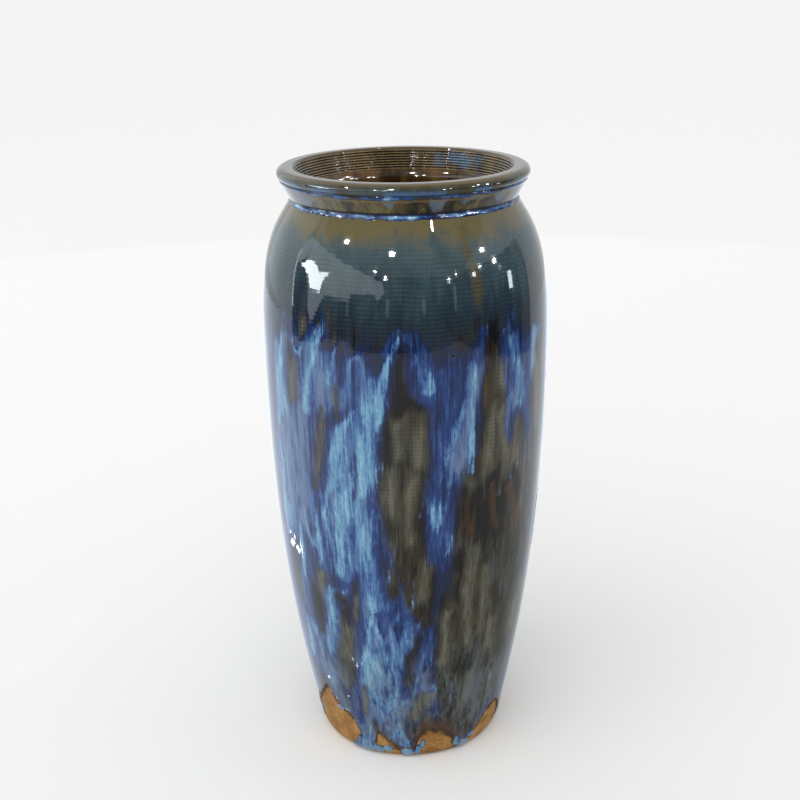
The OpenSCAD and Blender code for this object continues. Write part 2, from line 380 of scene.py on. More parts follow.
PALES = [
    # light blue, thick and feathery
    [(-2.6, 230, 1.2), (-6.4, 221, 2), (-9.4, 211, 2.6), (-11.2, 200, 2.6), (-11.6, 192, 1.6)],
    [(-13, 210, 0.9), (-14.4, 200, 2), (-14.6, 185, 4), (-15.6, 169, 4.2), (-16.6, 155, 1.8)],
    [(-20, 196, 1), (-23, 190, 1.8), (-26.4, 183, 3), (-29, 172, 3.2), (-30, 160, 2.6), (-33.6, 150, 2),
     (-36.6, 140, 1.2)],
    [(-27.6, 156, 2.2), (-28.4, 132, 2.8), (-30, 115, 2.4)],
    [(-25, 158, 1.2), (-25, 134, 1.4), (-25.6, 118, 1.2)],
    [(-32, 150, 1), (-31, 124, 1.2)],
    [(-35, 142, 1), (-33.4, 116, 1.3)],
    [(-22, 166, 1.2), (-23, 140, 0.8)],
    [(-41, 160, 0.8), (-40.6, 140, 1.3), (-39, 118, 1.6)],
    [(-46, 150, 0.8), (-46, 135, 1.8), (-43, 122, 2)],
    [(-49, 146, 0.8), (-50, 134, 1.2)],
    [(-54.4, 236, 1), (-55.6, 220, 1.5), (-58.4, 205, 2.4), (-57.2, 192, 2.8), (-59.6, 183, 2.2)],
    [(-61, 172, 1.3), (-61, 150, 1.8), (-62, 134, 3), (-62, 123, 2.6)],
    [(-54.4, 172, 0.8), (-55.4, 142, 0.9)],
    [(-51.6, 130, 1.2), (-51.6, 115, 1.6), (-52.6, 105, 1.8)],
    [(-47.6, 226, 1.4), (-46, 222.4, 2), (-43, 226, 1.3)],
    [(-32.6, 237, 1.2), (-35.4, 228, 1.8), (-37.6, 220, 1.4), (-39.4, 210, 1.5), (-41, 201, 1.4),
     (-42, 194, 2)],
    [(-44, 218, 0.8), (-43, 210, 1), (-41.6, 203, 1)],
    [(-26, 230, 1.2), (-27.6, 225, 1.4), (-30.6, 211, 1)],
    [(-22.6, 230, 0.7), (-24.6, 216, 0.8)],
    [(2.4, 227.4, 0.8), (4.4, 223, 1.2), (3.4, 219, 0.9)],
    [(7, 222, 0.8), (9, 214, 1.3), (9.4, 208, 1.4), (6.6, 206.6, 1)],
    [(23, 206, 0.8), (21, 196, 1.6), (18.6, 188, 1.6), (18, 181, 1)],
    [(26.4, 218, 0.8), (25.4, 200, 1.4), (25.2, 182, 1.9), (26.4, 168, 1.2)],
    [(24, 178, 1.2), (24, 168, 0.8)],
    [(22.6, 204, 0.9), (23, 190, 1)],
    [(17, 180, 0.8), (15.6, 168, 0.8)],
    [(32.6, 236, 0.8), (31, 230, 1.3), (30.2, 224, 0.7)],
    [(38.8, 231.6, 0.9), (41, 229, 0.7)],
    [(43, 227, 0.8), (45, 219, 1.3), (46.4, 215, 1.5)],
    [(42.6, 198, 0.8), (42, 184, 0.7)],
    [(44.4, 198, 0.8), (46.6, 192, 1.2), (50, 191, 1.3), (51.6, 197, 0.9)],
    [(49, 204, 0.8), (53, 208, 0.8)],
    [(5.6, 153, 0.7), (5, 146, 1.1)],
    [(9, 155, 0.8), (9.4, 146, 1.3), (10.4, 139, 1.4)],
    [(13, 153, 0.7), (12.6, 143, 1.4), (14.4, 151, 0.8)],
    [(17.4, 134, 0.8), (16.4, 127, 1.1), (14.4, 122.4, 1.1)],
    [(-14, 148, 0.7), (-15, 134, 1), (-16.4, 114, 1.2), (-16.6, 100, 1.7), (-15, 93, 2)],
    [(-17.4, 88, 1.2), (-19, 74, 1.3), (-21, 63, 2.4), (-21, 50, 2.2), (-18, 38, 1.5)],
    [(-14.4, 86, 1.2), (-13, 74, 1.1), (-12, 62, 1.6), (-10.4, 46, 1.2), (-11, 30, 1.3),
     (-8.4, 17, 1.3), (-3, 9, 1.1)],
    [(-17, 64, 2.2), (-15, 52, 2), (-15, 36, 1.6), (-16, 22, 1.2), (-11, 12, 1.2),
     (-4, 6.6, 1.1), (-0.6, 2.6, 1.4)],
    [(-8.4, 143, 1.1), (-10, 151, 0.7)],
    [(-12, 144, 0.6), (-12.6, 134, 0.7)],
    [(-7, 126, 0.6), (-9, 112, 0.8)],
    [(2, 110, 0.7), (1, 98, 0.8)],
    [(2.2, 87, 0.8), (3.4, 82.4, 1.4), (5.4, 87, 0.7)],
    [(5.6, 98, 0.6), (4.4, 90, 0.6)],
    [(-1, 88, 0.9), (-2, 74, 1), (-5, 56, 1)],
    [(0.4, 80, 0.8), (0.4, 71, 0.9)],
    [(-6, 88, 0.7), (-6.8, 75, 1.2), (-9, 62, 1.2), (-7.4, 46, 1.1), (-8.4, 30, 1)],
    [(-34, 99.6, 1.4), (-31, 101, 0.8), (-28, 104, 0.8)],
    [(-33, 92.4, 0.8), (-31, 91, 1), (-29.4, 94, 0.7)],
    [(-36.6, 99, 1), (-37, 88, 1.7), (-39, 77, 1.7), (-40.4, 71, 1)],
    [(-35, 88, 0.8), (-35.6, 80, 0.9)],
    [(-42, 92, 0.6), (-42.6, 82, 0.8)],
    [(-54, 76, 1.2), (-51.6, 71, 2.2), (-49.4, 64, 1.3)],
    [(-57, 70, 1.6), (-58, 56, 2)],
    [(-41.6, 70, 1.2), (-40, 62, 1.5)],
    [(14.2, 83, 0.6), (12, 75, 0.8), (10.2, 64, 0.6)],
    [(8, 58, 0.7), (4, 50, 0.9), (2, 43, 0.7)],
    [(12, 50, 0.7), (11.6, 44, 1.2)],
    [(4, 42, 1), (-3, 37, 1.1), (-6.4, 30, 1.2)],
    [(21.4, 66, 0.4), (22.2, 55, 0.6)],
    [(21.6, 46, 0.8), (22.4, 36, 0.8), (24.4, 27, 0.8)],
    [(16.6, 38, 0.8), (18, 32, 0.8)],
    [(36.4, 47, 0.7), (37.4, 41, 0.8)],
    [(46.4, 46, 0.8), (46.6, 42, 1.1)],
    [(52.6, 46, 0.8), (52.8, 42, 1)],
    [(38.4, 30, 0.6), (39, 20, 0.8)],
    [(-36, 25.6, 0.8), (-33.4, 19, 1), (-30, 12, 1.6), (-28, 6, 2.6), (-25, 3.4, 2.4)],
    [(-19.4, 27, 0.7), (-22.4, 20, 1), (-24.6, 13, 1.2), (-26, 7, 1.4)],
    [(-37, 3, 1), (-30, 4.4, 2), (-22, 4, 1.6), (-17, 6, 1.4), (-12.6, 4, 1)],
    [(5.6, 5, 1.4), (7, 10, 1)],
    [(27.6, 10, 0.8), (30, 6, 0.9), (33, 2, 1)],
    [(-43, 25.4, 0.9), (-40, 27, 0.9)],
    [(-72, 20, 0.8), (-62, 25, 0.9)],
    [(23.4, 154, 0.6), (23.8, 152, 0.8)],
    [(31.6, 154, 0.6), (32.2, 151.6, 0.9)],
    [(40.4, 154, 0.5), (40.4, 150.6, 0.8)],
    [(45.8, 160, 0.5), (46, 157.6, 0.7)],
    [(50, 161, 0.9), (50.6, 158.4, 0.7)],
]
MILKS = [
    # cloudy lavender
    [(-45, 196, 2), (-46, 176, 5), (-47, 152, 5), (-46, 128, 3)],
    [(-33, 212, 3), (-34, 196, 3)],
    [(26, 208, 1.6), (23, 190, 3), (21, 170, 3)],
    [(-57, 214, 3), (-56, 170, 4), (-57, 140, 3)],
    [(-18, 30, 3), (-26, 14, 3)],
    [(9, 58, 2), (8, 44, 2)],
]
# The edge of the glaze above the bare foot, as (angle, height). It was read between
# about -65 and 60. Beyond that it is too foreshortened to read, or hidden, and guessed.
FOOT_LINE = [
    (-90, 14), (-82, 9), (-75, 16), (-65, 24), (-58, 31), (-52, 37), (-47, 29), (-42, 25), (-38, 25),
    (-34, 20), (-31, 13), (-29, 5), (-24, 4), (-22.5, 7), (-19.5, 15), (-17, 14), (-13, 10), (-8, 8),
    (-3, 4), (-0.5, 3), (2.5, 3), (4, 12), (7, 18), (11, 19), (15, 17), (20, 17), (24, 13), (28, 6),
    (31, 3), (36, 4), (41, 8), (47, 14), (53, 20), (60, 21), (67, 17), (74, 8), (80, 4), (86, 10),
    (94, 19), (104, 14), (110, 4), (116, 6), (122, 17), (130, 22), (138, 15), (145, 20), (152, 12),
    (158, 3), (164, 7), (170, 18), (178, 23), (186, 12), (192, 3), (198, 10), (206, 21), (214, 16),
    (222, 6), (228, 5), (236, 18), (246, 22), (256, 13), (263, 6),
]


def back_strokes(seed, count, low, high, width, length, lean=3.0):
    """Strokes for the side that is turned away, at even steps with a little chance in them."""
    chance = np.random.RandomState(seed)
    made = []
    for i in range(count):
        angle = BACK_FROM + (i + chance.rand()) * BACK_SPAN / count
        top = low + (high - low) * chance.rand()
        run = length * (0.5 + chance.rand())
        size = width * (0.6 + 0.8 * chance.rand())
        drift = lean * (chance.rand() - 0.5)
        made.append([
            (angle, top, size * 0.45),
            (angle + drift * 0.4, top - run * 0.35, size),
            (angle + drift, top - run * 0.75, size * 0.8),
            (angle + drift * 1.2, top - run, size * 0.6),
        ])
    return made


for strokes, *rest in [
    (WINDOWS, 1, 9, 205, 232, 6, 70), (WINDOWS, 2, 10, 60, 150, 8, 70),
    (DARKS, 3, 9, 190, 226, 2.6, 20), (DARKS, 10, 8, 60, 150, 4, 20),
    (RUSTS, 11, 7, 100, 222, 2.4, 14), (TANS, 12, 22, 60, 225, 3, 36),
    (WASHES, 7, 16, 100, 225, 6, 70, 7), (WASHES, 13, 12, 30, 90, 6, 50, 6),
    (MILKS, 14, 9, 60, 215, 3, 40),
    (COBALTS, 8, 16, 150, 236, 4, 50, 5), (COBALTS, 9, 14, 30, 130, 3.6, 36, 5),
    (PALES, 4, 26, 150, 232, 2.2, 46, 7), (PALES, 5, 26, 60, 150, 1.8, 44, 7),
    (PALES, 6, 16, 20, 60, 1.3, 26, 8),
]:
    strokes += back_strokes(*rest)


def near(strokes, angle, z, per_degree, measure):
    """The greatest value of measure(distance, half width) over every leg of every stroke."""
    best = np.full(angle.shape, -99.0)
    for stroke in strokes:
        for (a0, z0, w0), (a1, z1, w1) in zip(stroke, stroke[1:]):
            x = ((angle - a0 + 180) % 360 - 180) * per_degree
            dx, dz = (a1 - a0) * MM_PER_DEGREE, z1 - z0
            t = np.clip((x * dx + (z - z0) * dz) / (dx * dx + dz * dz), 0, 1)
            away = np.hypot(x - t * dx, z - z0 - t * dz)
            best = np.maximum(best, measure(away, w0 + t * (w1 - w0)))
    return best


def soft(away, width):
    """1 on the middle of a stroke, a half at its edge, and fading from there."""
    return np.exp2(-((away / width) ** 2))


def feathered(away, width):
    """The same, but a thin stroke never gets as bright as a broad one."""
    return soft(away, 1.15 * width) * np.clip(0.26 + 0.34 * width, 0, 1)


def inside(away, width):
    """How far inside a stroke a point lies, in mm."""
    return width - away


def foot_line(angle):
    """Height of the lower edge of the glaze."""
    known = sorted(((a + 90) % 360 - 90, h) for a, h in FOOT_LINE)
    line = np.interp((angle + 90) % 360 - 90, [a for a, _ in known], [h for _, h in known], period=360)
    wave = round_noise(angle, 0 * angle, 5, seed=2) + 0.5 * round_noise(angle, 9 + 0 * angle, 1.6, seed=3)
    return np.clip(line + 3 * (wave - 0.75), 2.2, 60)


def glaze_fields(angle, z):
    """What the glaze is at each point, by name."""
    r = WALLS.at(np.interp(z, WALLS.points[:, 1], WALLS.walked))[0]
    per_degree = r * math.pi / 180
    push = round_noise(angle, z, 8, 2.5, seed=1) - 0.5
    nudge = round_noise(angle, z, 2.6, 4, seed=4) - 0.5
    lift = round_noise(angle, z, 5, 2.2, seed=2) - 0.5
    a = angle + (3.0 * push + 1.6 * nudge) / per_degree
    h = z + 9 * lift + 6 * nudge
    cloud = round_noise(angle, z, 11, 4, seed=5) - 0.5
    wash = near(WASHES, a, h, per_degree, soft)
    cobalt = near(COBALTS, a, h, per_degree, soft)
    pale = near(PALES, a, h, per_degree, feathered)
    ahead = np.exp2(-((((angle - 6 + 180) % 360 - 180) / 24) ** 2))
    top = smooth(246, 220, h + 12 * cloud + 6 * ahead)
    blue = top * (0.36 + 0.30 * cloud)
    blue = blue + (0.60 + 0.34 * cloud - blue) * smooth(0.1, 0.9, wash)
    blue = blue + (0.40 - blue) * smooth(0.1, 0.9, cobalt)
    return {
        "blue": np.clip(blue, 0, 1),
        "pale": np.clip(pale, 0, 1),
        "open": np.clip(0.5 + near(WINDOWS, a, h, per_degree, inside) / 18, 0, 1),
        **{key: np.clip(near(strokes, a, h, per_degree, soft), 0, 1)
           for key, strokes in (("milk", MILKS), ("tan", TANS), ("dark", DARKS), ("rust", RUSTS))},
    }


# ---------------------------------------------------------------- meshes
def link(thing):
    bpy.context.scene.collection.objects.link(thing)
    return thing


def mesh_piece(name, points, faces, values, sharp):
    """An object from points in mm and faces of four corners, with an attribute for each value."""
    used = np.unique(faces)
    renumber = np.zeros(len(points), int)
    renumber[used] = np.arange(len(used))
    faces = renumber[faces]
    mesh = bpy.data.meshes.new(name)
    mesh.vertices.add(len(used))
    mesh.vertices.foreach_set("co", (points[used] * MM).ravel())
    mesh.loops.add(faces.size)
    mesh.loops.foreach_set("vertex_index", faces.ravel())
    mesh.polygons.add(len(faces))
    mesh.polygons.foreach_set("loop_start", np.arange(len(faces)) * 4)
    mesh.polygons.foreach_set("use_smooth", np.ones(len(faces), bool))
    for key, value in values.items():
        layer = mesh.attributes.new(key, "FLOAT", "POINT")
        layer.data.foreach_set("value", value[used].astype(np.float32))
    mesh.update(calc_edges=True)
    mesh.set_sharp_from_angle(angle=math.radians(sharp))
    return link(bpy.data.objects.new(name, mesh))


def raised(angle, r, z, nr, nz, depth):
    """Points at a depth over the clay, all in one list."""
    turn = np.radians(angle)
    reach = r + depth * nr
    return np.stack([reach * np.sin(turn), -reach * np.cos(turn), z + depth * nz], -1).reshape(-1, 3)


def numbered(grid):
    """The number of each point of a grid, and of the next point round the pot."""
    number = np.arange(grid.size).reshape(grid.shape)
    return number, np.roll(number, -1, axis=1)


def two_layers(angle, r, z, nr, nz, low, high, values):
    """The points of the upper and then of the under surface, with their values."""
    points = np.concatenate([raised(angle, r, z, nr, nz, depth) for depth in (high, low)])
    return points, {key: np.concatenate([v.ravel(), v.ravel()]) for key, v in values.items()}


def ring_coat(name, angle, r, z, nr, nz, low, high, values, sharp=50, skip=8):
    """A closed coat all round the pot. Its hidden underside has fewer rows."""
    number, beyond = numbered(high)
    under = high.size
    few = np.unique(np.r_[0:len(high):skip, len(high) - 1])
    inner, inner_beyond = number[few] + under, beyond[few] + under
    faces = [
        np.stack([number[:-1], beyond[:-1], beyond[1:], number[1:]], -1),
        np.stack([inner[1:], inner_beyond[1:], inner_beyond[:-1], inner[:-1]], -1),
        np.stack([beyond[0], number[0], inner[0], inner_beyond[0]], -1)[None],
        np.stack([number[-1], beyond[-1], inner_beyond[-1], inner[-1]], -1)[None],
    ]
    faces = np.concatenate([f.reshape(-1, 4) for f in faces])
    points, double = two_layers(angle, r, z, nr, nz, low, high, values)
    return mesh_piece(name, points, faces, double, sharp)


def whole_patches(keep, least=12):
    """The same cells, with corners that only touch filled in and without crumbs of a few cells."""
    keep = keep.copy()
    while True:
        here, beside = keep[:-1], np.roll(keep, -1, axis=1)[:-1]
        below, across = keep[1:], np.roll(keep, -1, axis=1)[1:]
        falling = here & across & ~beside & ~below
        rising = beside & below & ~here & ~across
        if not (falling.any() or rising.any()):
            break
        keep[1:] |= falling | np.roll(rising, 1, axis=1)
    label = np.where(keep, numbered(keep)[0], -1)
    while True:
        spread = np.maximum(np.roll(label, 1, axis=1), np.roll(label, -1, axis=1))
        spread[1:] = np.maximum(spread[1:], label[:-1])
        spread[:-1] = np.maximum(spread[:-1], label[1:])
        spread = np.where(keep, np.maximum(spread, label), -1)
        if np.array_equal(spread, label):
            break
        label = spread
    cells = np.bincount(label[keep], minlength=keep.size)
    return keep & (cells[label] >= least)


def patch_coat(name, angle, r, z, nr, nz, low, high, lying, values, sharp=60):
    """Closed patches of glass wherever lying is true."""
    beside = lying & np.roll(lying, -1, axis=1)
    keep = whole_patches(beside[:-1] & beside[1:])
    number, beyond = numbered(high)
    under = high.size
    a, b, c, d = (m[keep] for m in (number[:-1], beyond[:-1], beyond[1:], number[1:]))
    faces = [np.stack([a, b, c, d], 1), np.stack([d, c, b, a], 1) + under]
    padded = np.pad(keep, ((1, 1), (0, 0)))
    sides = (
        (keep & ~padded[:-2], number[:-1], beyond[:-1]),
        (keep & ~np.roll(keep, -1, axis=1), beyond[:-1], beyond[1:]),
        (keep & ~padded[2:], beyond[1:], number[1:]),
        (keep & ~np.roll(keep, 1, axis=1), number[1:], number[:-1]),
    )
    for edge, first, last in sides:
        p, q = first[edge], last[edge]
        faces.append(np.stack([q, p, p + under, q + under], 1))
    points, double = two_layers(angle, r, z, nr, nz, low, high, values)
    return mesh_piece(name, points, np.concatenate(faces), double, sharp)


def on_grid(outline, s, columns):
    """Angle, radius, height and outward direction on a grid of rows by columns."""
    angle = np.linspace(-180, 180, columns, endpoint=False)[None, :] + 0 * s[:, None]
    return (angle, *(v[:, None] + 0 * angle for v in outline.at(s)))


def turning_rings(angle, z):
    """Height of the fine spiral rings left by the turning, in mm."""
    wave = np.sin(2 * math.pi * z / RING_PITCH + np.radians(angle))
    strong = smooth(150, 215, z) * smooth(281, 268, z)
    return 0.004 * wave * strong


def slow_waves(angle, z):
    """The pot is thrown by hand, so its surface wanders a little."""
    broad = round_noise(angle, z, 40, 1.2, seed=0) - 0.5
    return 0.12 * broad + 0.02 * (round_noise(angle, z, 9, 1.5, seed=3) - 0.5)


def glaze_surface(angle, z, fields):
    """How far the glass stands above its mean, in mm."""
    thick = 0.05 * smooth(0.3, 0.8, fields["blue"]) - 0.07 * smooth(0.35, 0.65, fields["open"])
    return turning_rings(angle, z) + slow_waves(angle, z) + thick - 0.06


def make_clay():
    """The pot itself, its bare foot with turning lines and a trimmed recess."""
    ring_in = FOOT_R - EDGE_IN - RING_W
    under = (
        np.array([(0.05, RECESS), (ring_in - RECESS, RECESS), (ring_in, 0), (FOOT_R - EDGE_IN, 0)]),
        np.array([(0, -1), (0, -1), (0, -1), (0, -1.0)]),
    )
    whole = Outline(under, FOOT_EDGE, LOWER, UPPER, GROOVE, COLLAR, ROLL, INNER_EDGE, *inner_parts())
    corners = [0, ring_in - RECESS, ring_in - RECESS + math.hypot(RECESS, RECESS)]
    corners.append(corners[-1] + RING_W)
    fine = corners[-1] + 46
    parts = zip([*corners, fine], [*corners[1:], fine, whole.length], (12, 6, 10, 90, 160))
    s = [stations(start, end, lambda s: (end - start) / count)[:-1] for start, end, count in parts]
    s = np.append(np.concatenate(s), whole.length)
    angle, r, z, nr, nz = on_grid(whole, s, 240)
    outer = (s[:, None] > corners[3]) & (s[:, None] < fine)
    lines = round_noise(angle * 0.2, z, 0.9, seed=1) - 0.5
    grain = round_noise(angle, z, 1.2, seed=5) - 0.5
    shape = np.where(outer, (0.12 * lines + 0.06 * grain) * smooth(1.0, 3.0, z), 0.0)
    points = raised(angle, r, z, nr, nz, shape)
    number, beyond = numbered(r)
    faces = np.stack([number[:-1], beyond[:-1], beyond[1:], number[1:]], -1).reshape(-1, 4)
    middle = len(points)
    points = np.concatenate([points, [(0, 0, RECESS), (0, 0, FLOOR_Z)]])
    every_other = range(0, r.shape[1], 2)
    lids = [(middle, beyond[0][i + 1], number[0][i + 1], number[0][i]) for i in every_other]
    lids += [(middle + 1, number[-1][i], number[-1][i + 1], beyond[-1][i + 1]) for i in every_other]
    edge = np.concatenate([(z - foot_line(angle)).ravel(), [-30, 30]])
    return mesh_piece("stoneware", points, np.concatenate([faces, lids]), {"edge": edge}, 40)


def make_base_glaze():
    """The coat over the whole outside, from its ragged edge above the foot to the lip."""
    start = OUTSIDE.where(24)
    fine = OUTSIDE.where(205), OUTSIDE.where(238)
    neck = OUTSIDE.where(NECK_Z - 3)

    def spacing(s):
        if s < start + 12:
            return 0.6
        if s < fine[0]:
            return 1.6
        if s < fine[1]:
            return 0.8
        return 4 if s < neck else 0.5

    s = stations(start, OUTSIDE.length, spacing)
    angle = on_grid(OUTSIDE, s, COLUMNS)[0]
    moved = np.interp(foot_line(angle[:1]), OUTSIDE.points[:200, 1], OUTSIDE.walked[:200]) - start
    held = np.clip((s - start) / (OUTSIDE.where(75) - start), 0, 1)[:, None]
    walk = s[:, None] + moved * (1 - held) ** 1.6
    r, z, nr, nz = OUTSIDE.at(walk)
    fields = glaze_fields(angle, z)
    on_wall = smooth(NECK_Z - 1, NECK_Z - 6, z)
    from_edge = walk - walk[:1]
    round_edge = np.sqrt(np.clip(1 - (1 - np.clip(from_edge / 1.6, 0, 1)) ** 2, 0, 1))
    under_dip = DIP * smooth(DIP_Z + 3, DIP_Z + 9, z) * smooth(NECK_Z + 0.5, NECK_Z - 0.5, z)
    rise = glaze_surface(angle, z, fields) * on_wall - under_dip
    high = (COAT + rise) * (0.05 + 0.95 * round_edge)
    fields["edge"] = from_edge
    fields["walk"] = walk - OUTSIDE.where(NECK_Z)
    return ring_coat("outside_glaze", angle, r, z, nr, nz, 0 * high - 0.02, high, fields)


def make_shoulder_glaze():
    """The slate-teal second coat, with a soft lower edge."""
    s = stations(OUTSIDE.where(226), OUTSIDE.where(NECK_Z), lambda s: 0.5)
    angle, r, z, nr, nz = on_grid(OUTSIDE, s, COLUMNS)
    fields = glaze_fields(angle, z)
    ragged = 5 * (round_noise(angle, z, 7, 2, seed=3) - 0.5)
    sunk = smooth(DIP_Z, DIP_Z - 6, z + ragged)
    high = COAT + glaze_surface(angle, z, fields) + 0.012 - sunk * 0.4
    low = 0 * high + COAT - DIP - 0.25 - 0.3 * sunk
    return ring_coat("shoulder_glaze_coat", angle, r, z, nr, nz, low, high, fields)


def make_runs():
    """The thick light blue runs, each standing a little proud of the coat under it."""
    s = stations(OUTSIDE.where(8), OUTSIDE.where(238), lambda s: 1.2)
    angle, r, z, nr, nz = on_grid(OUTSIDE, s, 400)
    fields = glaze_fields(angle, z)
    strands = round_noise(angle, z, 1.8, 9, seed=2) - 0.5
    above = z - foot_line(angle)
    thick = fields["pale"] - 0.36 + 0.16 * strands
    proud = np.clip(0.36 * thick, -0.06, RUN_H) - 0.2 * smooth(3, 0, above)
    high = COAT + glaze_surface(angle, z, fields) + proud
    fields["edge"] = above
    lying = proud > -0.045
    return patch_coat("blue_runs", angle, r, z, nr, nz, 0 * high + COAT - 0.45, high, lying, fields)


DROPS = [
    # (angle, height, half width, half height) of the thick drops over the bare foot
    (-28, 6, 6, 5), (-23, 4, 6, 2.6), (-34, 3, 5, 1.8), (-14, 5, 3, 2), (-2, 4, 4, 3.4), (4.6, 5, 1.8, 3.6),
    (7.5, 9, 1.4, 3), (34, 4.4, 4.6, 3.2), (29, 7, 2, 4), (40, 8, 3, 2), (-80, 9, 6, 6), (78, 8, 5, 6),
    (112, 7, 6, 6), (158, 6, 5.4, 5), (192, 6, 5.4, 5), (225, 8, 6, 5.4), (262, 8, 5, 5), (146, 17, 3, 4),
    (208, 18, 3.4, 4), (-43, 25, 3, 1.6), (-38, 25.6, 2.4, 1.2),
]


def make_drops():
    """Drops of thick glass that ran on over the bare clay."""
    s = stations(OUTSIDE.where(1.2), OUTSIDE.where(32), lambda s: 0.35)
    angle, r, z, nr, nz = on_grid(OUTSIDE, s, 900)
    wobble = round_noise(angle, z, 2.4, 1.6, seed=1) - 0.5
    body = np.full(angle.shape, -1.0)
    for at, height, wide, tall in DROPS:
        x = ((angle - at + 180) % 360 - 180) * r * math.pi / 180
        body = np.maximum(body, 1 - (x / wide) ** 2 - ((z - height) / tall) ** 2 + 1.1 * wobble)
    high = DROP_H * np.sqrt(np.clip(body, 0, 1)) - 0.2 * (body < 0)
    fields = glaze_fields(angle, z)
    streak = round_noise(angle, z, 2, 2.4, seed=3) - 0.5
    pale = np.clip(0.75 + 1.5 * streak + 0.3 * smooth(0.2, 1.0, body), 0, 1)
    fields["pale"] = pale * smooth(0.05, 0.4, body)
    fields["blue"] = 0.20 + 0.40 * smooth(0.0, 0.5, body)
    for key in ("open", "dark", "rust", "tan", "milk"):
        fields[key] = 0 * body
    fields["edge"] = 0 * body + 9
    return patch_coat("foot_drops", angle, r, z, nr, nz, 0 * high - 0.3, high, body > -0.12, fields)


def make_ring(name, start, end, rise, seed, ragged):
    """A ring of pooled glass between two places on the outline."""
    s = stations(start, end, lambda s: (end - start) / 22)
    angle, r, z, nr, nz = on_grid(OUTSIDE, s, 480)
    uneven = round_noise(angle, 0 * z, 6, seed=seed) - 0.5
    small = round_noise(angle, 0 * z, 2, seed=seed + 1) - 0.5
    shift = np.linspace(0, 1, len(s))[:, None] + ragged * (uneven + 0.6 * small)
    swell = np.sin(math.pi * np.clip(shift, 0, 1)) ** 0.8
    high = COAT - 0.08 + rise * swell * (0.75 + 0.5 * uneven)
    high[0] = high[-1] = COAT - 0.1
    return ring_coat(name, angle, r, z, nr, nz, 0 * high + COAT - 0.3, high, {"swell": swell}, skip=3)


def make_liner():
    """The coat on the inside, over the ribs of the throat."""
    throat = 15.8                # distance walked from the crest of the lip to the foot of the ribs
    s = stations(0, INSIDE.length, lambda s: 0.16 if s < throat else 0.9 if s < 44 else 4.0)
    angle, r, z, nr, nz = on_grid(INSIDE, s, 240)
    down = np.clip((HEIGHT - MOUTH_EDGE - z) / (THROAT_H - MOUTH_EDGE), 0, 1)
    down = down * (s[:, None] < throat) * (r < MOUTH_R + MOUTH_EDGE)
    ribs = RIB_H * (1 - np.cos(2 * math.pi * RIBS * down)) / 2
    waves = 0.05 * np.sin(2 * math.pi * z / 4.2) * smooth(20, 60, z)
    waves = waves * smooth(throat + 4, throat + 12, s[:, None])
    high = COAT + ribs * (r > 30) + waves
    values = {"depth": HEIGHT - z, "rib": ribs / RIB_H}
    return ring_coat("inside_glaze", angle, r, z, nr, nz, 0 * high - 0.02, high, values)


